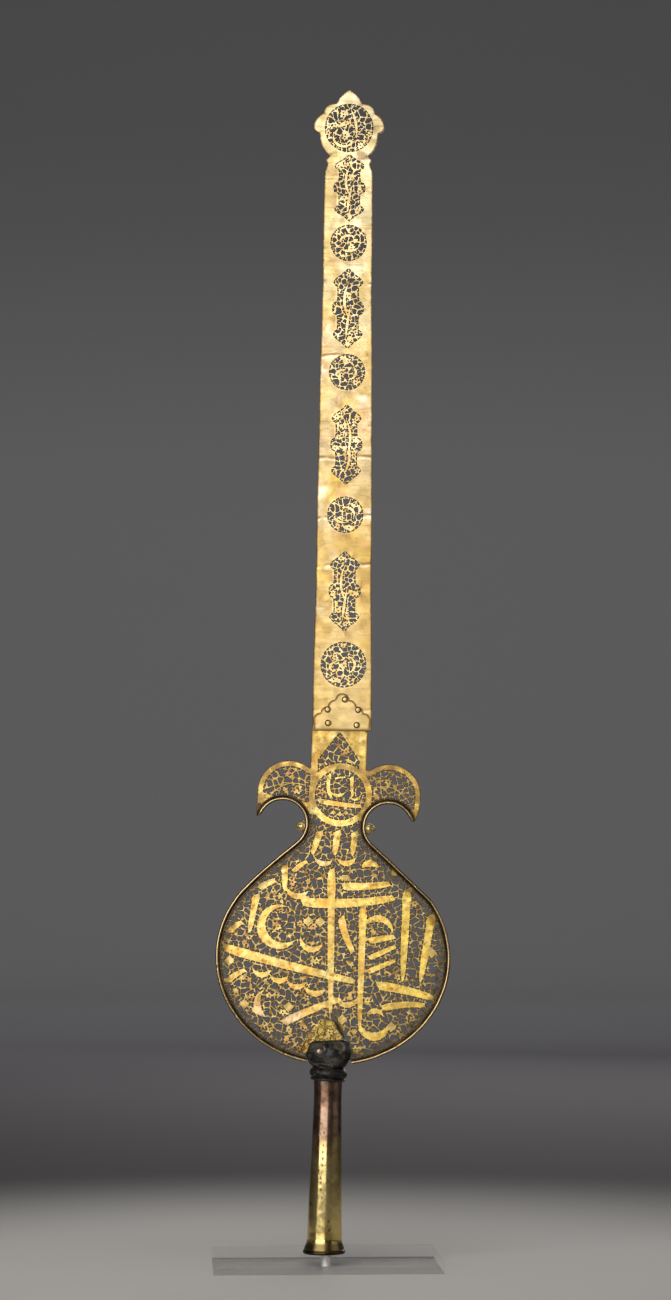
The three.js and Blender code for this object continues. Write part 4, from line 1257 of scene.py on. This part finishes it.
blade = dict(
    thickness=2.4,
    back=-1.5,
    length=769,
    footWidth=71,
    neckWidth=57,
    headWidth=85,
    headStart=689,
    cartoucheWidth=38,
    cartoucheLength=97.5,
    headRoundel=28.8,
    rivetBore=2.3,
    step=0.45,
    smallest=0.6,
    slack=0.05,
    ease=0.45,
    wisp=1.8,
    scored=2.2,              # a fine line is scored this far outside the panels
    wave=0.5,                # how far the sheet wanders in depth
    # width of the painted shade line along the blade's outline
    outlineShade=2.2,
)
# shares of the way up to the head, with the size of each cartouche and the radius of each roundel
cartouches = [(0.243, 1), (0.498, 1), (0.735, 1), (0.945, 0.83)]
roundels = [(0.376, 21.4), (0.624, 21.4), (0.849, 21.4), (0.115, 27)]
rivetPlaces = np.array([(0.05, 0.83), (-0.25, 0.56), (0.28, 0.56), (-0.24, 0.2), (0.26, 0.15)]) * (69, 45)
# half of the head: corners, then bends through a control, in shares of its half width and its height
headCorners = [(0.67, -0.23), (0.63, -0.17), (0.6, -0.12), (0.65, -0.06), (0.58, -0.02)]
headBends = [
    ((0.54, 0), (0.82, 0.1), (0.83, 0.34), 12),
    ((0.83, 0.34), (1.02, 0.36), (1, 0.46), 8),
    ((1, 0.46), (0.93, 0.6), (0.72, 0.64), 8),
    ((0.72, 0.64), (0.72, 0.78), (0.36, 0.79), 10),
    ((0.36, 0.79), (0.3, 0.9), (0, 1), 10),
]
cartoucheQuarter = [
    (1, 0), (0.95, 0.12), (0.72, 0.17), (0.68, 0.22), (0.66, 0.4), (0.68, 0.53), (0.88, 0.58), (0.92, 0.64),
    (0.86, 0.7), (0.64, 0.78), (0.42, 0.83), (0.3, 0.88), (0.1, 0.95), (0, 1),
]


def headEdge():
    def at(x, y):
        return (x * blade["headWidth"] / 2, blade["headStart"] + y * (blade["length"] - blade["headStart"]))

    parts = [[at(*corner) for corner in headCorners]]
    for a, control, b, steps in headBends:
        parts.append(bend(at(*a), at(*control), at(*b), steps)[0 if len(parts) == 1 else 1:])
    return np.vstack(parts)


def bladeOutline():
    up = np.linspace(0, blade["headStart"] * 0.965, 120)
    half = blade["footWidth"] / 2 + (blade["neckWidth"] - blade["footWidth"]) / 2 * up / blade["headStart"]
    half = half + 0.5 * np.sin(up / 37) * np.sin(up / 113)
    nicks = np.random.default_rng(5).normal(0, 0.12, (2, len(up)))
    right, left = [np.vstack([np.stack([half + nick, up], 1), headEdge()]) for nick in nicks]
    return np.vstack([right, flip(left)[::-1][1:]])


def cartoucheOutline(middle, length):
    quarter = np.array(cartoucheQuarter) * (blade["cartoucheWidth"] / 2, length / 2)
    up = np.vstack([quarter, flip(quarter)[::-1][1:]])
    return np.vstack([up, up[::-1][1:-1] * (1, -1)]) + (0, middle) + (1.2, 0)


def wispOf(grid, points):
    # a long thin stroke that swells in its middle
    layer = blank(grid, -9)
    last = len(points) - 1
    halves = [blade["wisp"] * (0.35 + 0.75 * math.sin(math.pi * k / last)) for k in range(last + 1)]
    drawStroke(layer, grid, points, halves)
    return layer


def bladeSheet():
    outline = bladeOutline()
    grid = makeGrid(outline, 3, blade["step"])
    x, y = grid["x"], grid["y"]
    depth = depthIn(grid, outline, 8)
    room = blank(grid, -9)
    wisps = []
    rng = np.random.default_rng(41)
    for share, radius in roundels:
        up = share * blade["headStart"]
        room = np.maximum(room, radius - np.hypot(x - 1, y - up))
        start = rng.uniform(0, 360)
        wisps.append(arc(1, up, radius * 0.5, radius * 0.42, start, start + 130, 14))
        wisps.append(arc(1, up - 3, radius * 0.6, radius * 0.3, start + 180, start + 290, 14))
    headUp = blade["headStart"] + (blade["length"] - blade["headStart"]) * 0.42
    room = np.maximum(room, blade["headRoundel"] - np.hypot(x, y - headUp))
    wisps.append(bend((2, headUp + 22), (10, headUp + 8), (9, headUp - 12), 14))
    wisps.append(arc(-6, headUp - 10, 13, 12, 170, 330, 14))
    for share, size in cartouches:
        up = share * blade["headStart"]
        length = blade["cartoucheLength"] * size
        room = np.maximum(room, depthIn(grid, cartoucheOutline(up, length), 9))
        swing = rng.choice([-1, 1])
        upper = [(1, up + length * 0.3), (1 + swing * 9, up + length * 0.1), (2, up - length * 0.12)]
        lower = [(4, up + length * 0.02), (4 + swing * 4, up - length * 0.2), (-1, up - length * 0.36)]
        wisps += [bend(*upper, 14), bend(*lower, 14)]
    fine = np.max([wispOf(grid, points) for points in wisps], axis=0)
    vine, _ = growVine(grid, room, fine, bladeVine)
    solid = np.max([vine, fine, -room], axis=0)
    openings = openingsOf(grid, solid, blade["smallest"], blade["slack"])
    bore = blade["rivetBore"]
    solid = bored(solid, grid, rivetPlaces, bore)

    def bow(points):
        fade = np.clip((points[:, 1] - 60) / 90, 0, 1)
        slow = np.sin(points[:, 1] / 41) * 0.6
        return fade * blade["wave"] * (slow + np.sin(points[:, 1] / 17 + points[:, 0] / 19) * 0.4)

    thing = sheetPiece(
        "bladeOpenwork", bladePlace, [outline] + openings + [hole(place, bore, 14) for place in rivetPlaces],
        innerPoints(grid, solid, depth, 9, blade["outlineShade"], outline),
        blade["back"] - blade["thickness"], blade,
        [("vine", sampler(grid, room, -0.4, 0.6)),
         ("scored", sampler(grid, -np.abs(room + blade["scored"]), -0.7, -0.2)),
         edgeMark(grid, depth, blade["outlineShade"])],
        bow, sampler(grid, solid),
    )
    handIn(thing, "pale_gilt", "blade")


bladeSheet()
print("sheets are pierced")


# turned and swept pieces: rings of points, each joined to the next

def ringPiece(name, place, rings, hollow=False, sharpFrom=38):
    # a hollow piece joins its last ring to its first; another gets its ends filled
    rings = np.asarray(rings, float)
    count, around = rings.shape[:2]
    polygons = []
    for k in range(count if hollow else count - 1):
        here = k * around
        there = (k + 1) % count * around
        for i in range(around):
            j = (i + 1) % around
            polygons.append((here + i, here + j, there + j, there + i))
    if not hollow:
        polygons.append(tuple(range(around))[::-1])
        polygons.append(tuple(range((count - 1) * around, count * around)))
    thing = linkMesh(name, inMetres(place, rings.reshape(-1, 3)), polygons)
    shell = bmesh.new()
    shell.from_mesh(thing.data)
    bmesh.ops.recalc_face_normals(shell, faces=shell.faces)
    shell.to_mesh(thing.data)
    shell.free()
    thing.data.set_sharp_from_angle(angle=math.radians(sharpFrom))
    return thing


def ringAt(turns, across, deep, height):
    return np.stack([across * np.cos(turns), deep * np.sin(turns), np.full(len(turns), float(height))], 1)


def turnedRings(profile, segments, change=None):
    # the profile runs in radius and height; change gives a share of the radius for an angle and a height
    turns = np.linspace(0, 2 * math.pi, segments, endpoint=False)
    rings = []
    for radius, height in profile:
        reach = max(radius, 0.02) * (change(turns, height) if change else 1.0)
        rings.append(ringAt(turns, reach, reach, height))
    return np.array(rings)


def filledIn(profile, pitch):
    # the same profile with points added, so that dents and lobes have something to move
    out = [profile[0]]
    for a, b in zip(profile[:-1], profile[1:]):
        wide, high = b[0] - a[0], b[1] - a[1]
        steps = max(1, int(math.hypot(wide, high) / pitch))
        out += [(a[0] + wide * k / steps, a[1] + high * k / steps) for k in range(1, steps + 1)]
    return out


def waves(seed, rounds, length):
    # slow, seeded unevenness over an angle and a height
    rng = np.random.default_rng(seed)
    parts = []
    for _ in range(6):
        parts.append((rng.integers(1, rounds + 1), rng.uniform(0.4, 1.6) / length, rng.uniform(0, 6.28)))

    def read(turns, height):
        return sum(np.sin(turns * n + height * rate * 6.28 + phase) for n, rate, phase in parts) / len(parts)
    return read


# joining plate and its rivets, in the blade's own frame

plate = dict(
    width=69,
    height=45,
    thickness=1.6,
    front=-5.8,
    lobes=4,
    swell=4.4,
    ease=0.6,
    # width of the painted shade line along the plate's outline
    outlineShade=3.2,
    rivetHead=3.9,
    rivetRise=1.2,
    rivetShank=2.0,
    rivetBore=2.3,
)
rivetDome = [
    (1.0, 0.0), (1.0, 0.25), (0.95, 0.42), (0.86, 0.4), (0.79, 0.25), (0.75, 0.3), (0.71, 0.62), (0.63, 0.84),
    (0.5, 0.93), (0.25, 0.98), (0, 1.0),
]


def plateOutline():
    half = plate["width"] / 2
    corner = np.array([half, plate["height"] * 0.3])
    apex = np.array([0, plate["height"]])
    out = np.array([1, 1.2]) / math.hypot(1, 1.2) * plate["swell"]
    side = [np.array([(half - 1, 0), (half - 0.6, corner[1] * 0.5), corner])]
    for k in range(plate["lobes"]):
        a, b = [corner + (apex - corner) * i / plate["lobes"] for i in (k, k + 1)]
        side.append(bend(a, (a + b) / 2 + out, b, 9)[1:])
    side = np.vstack(side)
    return np.vstack([side, flip(side[:-1])[::-1]])


def joiningPlate():
    outline = plateOutline()
    grid = makeGrid(outline, 2, 0.4)
    depth = depthIn(grid, outline, 8)
    solid = bored(depth, grid, rivetPlaces, plate["rivetBore"])
    thing = sheetPiece(
        "cuspedPlate", bladePlace, [outline] + [hole(place, plate["rivetBore"], 24) for place in rivetPlaces],
        innerPoints(grid, solid, depth, 6, plate["outlineShade"], outline), plate["front"], plate,
        [("deeper", lambda points: np.ones(len(points))), edgeMark(grid, depth, plate["outlineShade"])],
    )
    handIn(thing, "pale_gilt", "joining_plate")


def facing(place, x, z):
    # a turned piece's axis laid along the depth, its head to the front
    return place @ Matrix.Translation((x, 0, z)) @ Matrix.Rotation(math.pi / 2, 4, "X")


def plateRivets():
    head, rise, shank = plate["rivetHead"], plate["rivetRise"], plate["rivetShank"]
    seat = -plate["front"] + 0.05
    profile = [(0, -2.3), (1.7, -2.25), (2.6, -2.0), (3.1, -1.6), (3.15, -1.45), (shank, -1.4), (shank, seat)]
    profile += [(head * r, seat + 0.25 + rise * h) for r, h in rivetDome]
    for k, (px, pz) in enumerate(rivetPlaces):
        change = waves(60 + k, 4, 30)
        rings = turnedRings(profile, 40, lambda turns, height: 1 + 0.035 * change(turns, height))
        rivet = ringPiece(f"plateRivet{k + 1}", facing(bladePlace, px, pz), rings)
        putMark(rivet, "ringed", np.repeat([radius > head * 0.68 for radius, _ in profile], 40))
        handIn(rivet, "pale_gilt", f"joint_rivet_{k + 1}")


joiningPlate()
plateRivets()


# rims: a bead with a groove and a thin lip beside it, slotted for the sheet

rim = dict(
    middle=3.3,              # the path's way in from the silhouette
    startOut=26.8,
    pitch=1.6,
    wander=0.22,
    nick=0.4,
    tip=6.0,                 # length over which the ends at the horns grow slim
)
# front half of the section: depth, way out, and how much painted highlight lies there on the bead's crown
rimSection = [
    (0.0, 3.3, 0.0), (-1.3, 3.24, 0.0), (-2.3, 3.05, 0.0), (-3.0, 2.7, 0.2), (-3.45, 2.3, 0.8),
    (-3.7, 1.9, 1.0), (-3.8, 1.45, 1.0), (-3.76, 1.0, 1.0), (-3.55, 0.6, 0.8), (-3.2, 0.2, 0.15),
    (-2.75, -0.35, 0.0),
    (-2.25, -0.95, 0.0), (-1.95, -1.5, 0.0), (-2.15, -1.95, 0.0), (-2.6, -2.2, 0.1), (-2.8, -2.55, 0.35),
    (-2.7, -2.9, 0.1), (-2.4, -3.2, 0.0), (-1.9, -3.3, 0.0), (-1.5, -3.25, 0.0), (-1.5, -0.2, 0.0),
]
rimJoints = {
    -1: [(-124, 55), (-137, -17), (-112, -71), (-52, -115), (-69, 112)],
    1: [(93, 90), (130, -44), (85, -108), (65, -114)],
}


def rimTube(side, name, node):
    path, along = evenly(rimEdge(side, rim["middle"], rim["startOut"], 120), rim["pitch"])
    out = leftOf(unit(np.gradient(path, axis=0))) * -side
    section = np.array(rimSection + [(-d, n, c * 0.8) for d, n, c in rimSection[:0:-1]])
    phase = np.random.default_rng(70 + side).uniform(0, 6.28, 4)
    sway = rim["wander"] * (np.sin(along / 13 + phase[0]) + np.sin(along / 5.3 + phase[1])) / 2
    sink = rim["wander"] * (np.sin(along / 17 + phase[2]) + np.sin(along / 7.1 + phase[3])) / 2
    size = np.clip(0.5 + 0.5 * (along[-1] - along) / rim["tip"], 0, 1)
    for joint in rimJoints[side]:
        at = along[int(np.argmin(np.hypot(*(path - joint).T)))]
        size = size - rim["nick"] / 3.3 * np.exp(-((along - at) / 1.1) ** 2)
    rings = []
    for k in range(len(path)):
        spot = path[k] + out[k] * (section[:, 1] * size[k] + min(sway[k], 0.0))[:, None]
        rings.append(np.stack([spot[:, 0], section[:, 0] * size[k] + sink[k] * 0.5, spot[:, 1]], 1))
    thing = ringPiece(name, bodyPlace, rings, sharpFrom=60)
    # painted highlight along the bead's crown, a little weaker on the back half
    putMark(thing, "crown", np.tile(section[:, 2], len(path)))
    handIn(thing, "dark_rim_brass", node)


rimTube(-1, "rimTubeLeft", "rim_left")
rimTube(1, "rimTubeRight", "rim_right")


# buds on the rims at the neck

bud = dict(length=11.4, radius=6.9, seat=0.8, petals=6)
budShape = [
    (0, 0), (0.8, 0), (0.84, 0.04), (0.8, 0.08), (0.88, 0.12), (0.97, 0.2), (1.0, 0.3), (0.96, 0.44),
    (0.84, 0.6), (0.64, 0.75), (0.4, 0.88), (0.18, 0.96), (0, 1),
]


def neckBud(side, name, node, point):
    length, radius = bud["length"], bud["radius"]
    profile = filledIn([(radius * r ** point, length * h) for r, h in budShape], 0.5)

    def petals(turns, height):
        deep = 0.1 * math.sin(math.pi * min(max(height / length - 0.12, 0) / 0.88, 1))
        return 1 - deep * (0.5 + 0.5 * np.cos(turns * bud["petals"])) ** 3

    x = side * (body["hollowOut"] - body["hollowRadius"] + bud["seat"]) + body["neckShift"]
    lie = Matrix.Rotation(side * math.pi / 2, 4, "Y")
    place = bodyPlace @ Matrix.Translation((x, 0, body["hollowUp"] - 3)) @ lie
    handIn(ringPiece(name, place, turnedRings(profile, 48, petals)), "knob_brass", node)


neckBud(-1, "budLeft", "bud_left", 1.0)
neckBud(1, "budRight", "bud_right", 0.85)


# yellow patch behind the cracked foot of the disc

patch = dict(front=1.5, thickness=1.2, bore=2.7, ease=0.2)
patchCorners = [(-26, -90), (11, -90), (12.4, -74), (9, -60), (2, -58.6), (-9, -57), (-18.2, -72), (-26, -82)]
claspRivet = dict(x=-11.684, up=27.144, head=3.4, rise=1.0, shank=2.4, face=13.8)


def repairPatch():
    outline = np.array(patchCorners) * units
    middle = (claspRivet["x"], claspRivet["up"] - standing["discUp"])
    grid = makeGrid(outline, 2, 1)
    depth = depthIn(grid, outline, 8)
    solid = bored(depth, grid, [middle], patch["bore"])
    crack = farFromLines(grid, [crackPath], 9)
    thing = sheetPiece(
        "patchSheet", bodyPlace, [outline, hole(middle, patch["bore"], 24)],
        innerPoints(grid, solid, depth, 3), patch["front"], patch,
        # painted shade on the patch where it shows through the crack
        [("grimeAndShade", sampler(grid, (5.5 - crack) / 3.5))],
    )
    handIn(thing, "patch_brass", "repair_patch")


repairPatch()


# blackened clasp: a beaten lump, slotted for the disc, with a dimple and a pale rivet

clasp = dict(
    base=8.7,
    slotLow=(-60, -1.5, 11.9),
    slotHigh=(60, 3.0, 70),
    dimpleX=10.7,
    dimpleRadius=4.0,
    dimpleDepth=1.5,
    beaten=0.6,
    grain=((0.11, 1.3), (0.33, 0.5)),       # scale and share of the unevenness
    sides=168,
    pitch=0.8,
    swellLeft=0.07,
    swellRight=0.03,
    tilt=0.07,
)
# height, half width, half depth and squareness
claspShape = [
    (1.0, 17.1, 17.1, 2.0), (8.0, 17.1, 17.1, 2.0), (8.7, 18.8, 16.9, 2.1), (9.6, 21.0, 16.6, 2.2),
    (12.5, 25.0, 15.8, 2.6), (17, 26.2, 14.4, 3.2), (22, 26.6, 13.5, 3.8), (27, 26.6, 13.5, 4.2),
    (32, 26.6, 13.4, 4.2), (36.0, 26.0, 13.0, 4.0), (38.6, 24.0, 12.4, 3.6), (39.8, 21.6, 11.2, 3.2),
    (40.3, 19.0, 9.6, 3.0), (40.45, 13.0, 6.2, 2.6), (40.5, 5.0, 2.4, 2.2),
]
# flats beaten on it: which way each faces and how far out it lies
claspFlats = [
    ((-0.934, -0.1, 0.357), 33.5), ((0.934, -0.1, 0.357), 33.0), ((0.9, 0, -0.43), 13.2),
    ((-0.9, 0, -0.43), 14.2), ((0.84, -0.54, 0.1), 26.0), ((-0.85, -0.52, -0.1), 23.2),
    ((0.15, -0.96, 0.22), 19.6), ((-0.3, -0.92, -0.25), 10.4), ((0.5, -0.7, -0.5), 12.4),
    ((0.1, 0.96, 0.25), 21.4),
]


def cutSlot(thing):
    low, high = clasp["slotLow"], clasp["slotHigh"]
    corners = [(x, y, z) for z in (low[2], high[2]) for y in (low[1], high[1]) for x in (low[0], high[0])]
    sides = [(0, 2, 3, 1), (4, 5, 7, 6), (0, 1, 5, 4), (2, 6, 7, 3), (0, 4, 6, 2), (1, 3, 7, 5)]
    cutter = linkMesh("slotCutter", inMetres(upperPlace, corners), sides, smooth=False)
    cut = thing.modifiers.new("slot", "BOOLEAN")
    cut.operation = "DIFFERENCE"
    cut.solver = "EXACT"
    cut.object = cutter
    view = bpy.context.evaluated_depsgraph_get()
    slotted = bpy.data.meshes.new_from_object(thing.evaluated_get(view))
    thing.modifiers.clear()
    thing.data = slotted
    bpy.data.objects.remove(cutter)


def claspLump():
    shape = np.array(claspShape)
    low = np.linspace(shape[0, 0], clasp["base"], 5)
    middle = np.arange(clasp["base"], 39.5, clasp["pitch"])
    heights = np.unique(np.concatenate([low, middle, shape[-6:, 0]]))
    turns = np.linspace(0, 2 * math.pi, clasp["sides"], endpoint=False)
    rings = []
    for z in heights:
        wide, deep, square = [np.interp(z, shape[:, 0], shape[:, k]) for k in (1, 2, 3)]
        reach = (np.abs(np.cos(turns)) ** square + np.abs(np.sin(turns)) ** square) ** (-1 / square)
        rings.append(ringAt(turns, wide * reach, deep * reach, z))
    rings = np.array(rings)
    lump = np.clip((rings[..., 2:] - clasp["base"]) / 3, 0, 1)
    for way, far in claspFlats:
        way = np.array(way) / np.linalg.norm(way)
        rings = rings - way * np.maximum(rings @ way - far, 0)[..., None] * 0.8 * lump
    places = [Vector(p) for p in rings.reshape(-1, 3)]
    rough = np.array([sum(noise.noise(p * scale) * share for scale, share in clasp["grain"]) for p in places])
    outward = rings * (1, 1, 0)
    outward = outward / np.maximum(np.linalg.norm(outward, axis=-1), 0.1)[..., None]
    rings = rings + outward * (clasp["beaten"] * (rough.reshape(rings.shape[:2]) - 0.8)[..., None] * lump)
    swell = np.where(rings[..., 0] < 0, clasp["swellLeft"], clasp["swellRight"])
    rings[..., 0] *= 1 + swell * lump[..., 0]
    rings[..., 2] += clasp["tilt"] * rings[..., 0] * np.clip((rings[..., 2] - 24) / 12, 0, 1)
    far = np.hypot(rings[..., 0] - clasp["dimpleX"], rings[..., 2] - claspRivet["up"])
    sunk = np.clip(1 - far / clasp["dimpleRadius"], 0, 1)
    rings[..., 1] += clasp["dimpleDepth"] * sunk * sunk * (3 - 2 * sunk) * (rings[..., 1] < 0)
    thing = ringPiece("claspLump", upperPlace, rings, sharpFrom=50)
    cutSlot(thing)
    handIn(thing, "blackened_metal", "socket_head")


def claspPin():
    head, rise, shank, face = [claspRivet[key] for key in ("head", "rise", "shank", "face")]
    back = [(0, -face - 0.6), (head * 0.5, -face - 0.5), (head * 0.76, -face - 0.2)]
    back.append((head * 0.8, -face + 1.4))
    front = [(shank, -face + 1.5), (shank, face - 2.4), (head * 0.96, face - 2.3), (head, face)]
    dome = [(0.94, 0.3), (0.78, 0.6), (0.55, 0.84), (0.3, 0.96), (0, 1)]
    profile = back + front + [(head * r, face + rise * h) for r, h in dome]
    change = waves(83, 4, 40)
    rings = turnedRings(profile, 40, lambda turns, height: 1 + 0.05 * change(turns, height * 0.2))
    pin = ringPiece("claspRivet", facing(upperPlace, claspRivet["x"], claspRivet["up"]), rings)
    putMark(pin, "paler", np.ones(len(pin.data.vertices)))
    handIn(pin, "knob_brass", "head_rivet")


claspLump()
claspPin()


# collar between clasp and socket: a thick ring over a thin one

collarShape = [
    (18.2, -7.8), (20.3, -7.8), (21.0, -7.3), (21.35, -6.3), (21.0, -5.3), (20.3, -4.75), (20.0, -4.3),
    (20.3, -3.8), (21.2, -3.2), (22.1, -2.1), (22.65, -0.7), (22.8, 0.9), (22.6, 2.5), (22.0, 4.1),
    (21.1, 5.5), (20.2, 6.3), (19.7, 6.7), (19.3, 7.6), (18.8, 7.8), (18.2, 7.8),
]


def collarRing():
    uneven = waves(91, 5, 60)
    place = upperPlace @ Matrix.Rotation(math.radians(2), 4, "Y")
    rings = turnedRings(collarShape, 96, lambda turns, height: 1 - 0.006 + 0.006 * uneven(turns, height))
    handIn(ringPiece("collarRing", place, rings, hollow=True), "blackened_metal", "collar")


collarRing()


# pole socket: hollow, leaning, its foot flared to a lip and cut level

socketOutside = [
    (23.6, 0), (25.1, 0.3), (25.55, 1.2), (25.6, 2.6), (25.3, 3.7), (24.6, 4.5), (24.15, 4.9), (24.1, 5.5),
    (23.9, 6.6), (23.3, 8.4), (22.5, 10.4), (21.75, 12.6), (21.3, 17), (20.9, 26), (20.2, 50), (19.05, 90.3),
    (17.85, 135), (16.95, 170), (16.7, 182), (16.85, 196), (17.25, 210), (17.4, 214.2), (17.1, 215),
]
socketInside = [(15.2, 215), (14.3, 180.6), (16.65, 90.3), (19.0, 12.6), (23.0, 0.2)]
# pits in its front: place across and up, and half width
tubePits = [
    (-1.5, 122.6, 1.0), (-1.6, 115.0, 1.3), (-2.0, 107.2, 1.3), (-0.6, 131, 0.8), (-4.2, 92, 1.3),
    (-3.6, 86, 1.0),
    (-3.9, 78, 1.2), (-6.2, 101, 0.9), (5.4, 40, 1.0), (6.2, 30, 0.9), (-2.6, 68, 0.8), (0.2, 146, 0.9),
]


tube = dict(sides=128, pitch=1.4, insidePitch=8, dent=0.011)


def poleSocket():
    dents = waves(97, 3, 160)
    outside = filledIn(socketOutside, tube["pitch"])
    rings = turnedRings(outside + filledIn(socketInside, tube["insidePitch"]), tube["sides"])
    turns = np.linspace(0, 2 * math.pi, tube["sides"], endpoint=False)
    for ring, (_, height) in zip(rings, outside):
        fade = min(max((height - 8) / 30, 0), 1) * min(max((213 - height) / 20, 0), 1)
        ring[:, :2] *= (1 + tube["dent"] * fade * (dents(turns, height) - 0.5))[:, None]
    rings[..., 0] += rings[..., 2] * tubeSlope
    thing = ringPiece("poleSocket", socketPlace, rings, hollow=True)
    places = rings.reshape(-1, 3)
    pitted = np.zeros(len(places))
    for x, z, half in tubePits:
        far = np.hypot(places[:, 0] - x, (places[:, 2] - z) * 0.7) / half
        pitted = np.maximum(pitted, np.clip(1.6 - far, 0, 1) * (places[:, 1] < 0))
    putMark(thing, "pitted", pitted)
    handIn(thing, "socket_brass", "socket")


poleSocket()


# threaded rod and clear foot

foot = dict(width=272, depth=165, thickness=15, corner=1.2, ease=1.0, turn=3, bore=6.3)
rod = dict(radius=6, length=111, pitch=1.75, threadDepth=0.95, runOut=1.5, steps=44)


def threadedRod():
    turns = np.linspace(0, 2 * math.pi, rod["steps"], endpoint=False)
    heights = np.arange(0, rod["length"] + 0.1, rod["pitch"] / 6)
    heights[-1] = rod["length"]
    rings = []
    for z in heights:
        phase = (z / rod["pitch"] - turns / (2 * math.pi)) % 1.0
        tooth = np.clip(np.abs(phase - 0.5) * 2.6 - 0.15, 0, 1)
        fade = min(1.0, z / rod["runOut"], (rod["length"] - z) / rod["runOut"])
        radius = rod["radius"] - rod["threadDepth"] * (1 - (1 - tooth) * fade)
        rings.append(ringAt(turns, radius, radius, z))
    handIn(ringPiece("footRod", Matrix.Identity(4), rings, sharpFrom=30), "rod_steel", "threaded_rod")


def footSlab():
    r = foot["corner"]
    x, y = foot["width"] / 2 - r, foot["depth"] / 2 - r
    quarters = [(x, -y, -90), (x, y, 0), (-x, y, 90), (-x, -y, 180)]
    outline = np.vstack([arc(cx, cy, r, r, start, start + 90, 4) for cx, cy, start in quarters])
    lie = Matrix.Rotation(math.radians(foot["turn"]), 4, "Z") @ Matrix.Rotation(-math.pi / 2, 4, "X")
    loops = [outline, hole((0, 0), foot["bore"], 48)]
    thing = sheetPiece("footSlab", lie, loops, np.zeros((0, 2)), -foot["thickness"], foot)
    handIn(thing, "clear_acrylic", "clear_foot")


threadedRod()
footSlab()
print("all pieces are dressed")
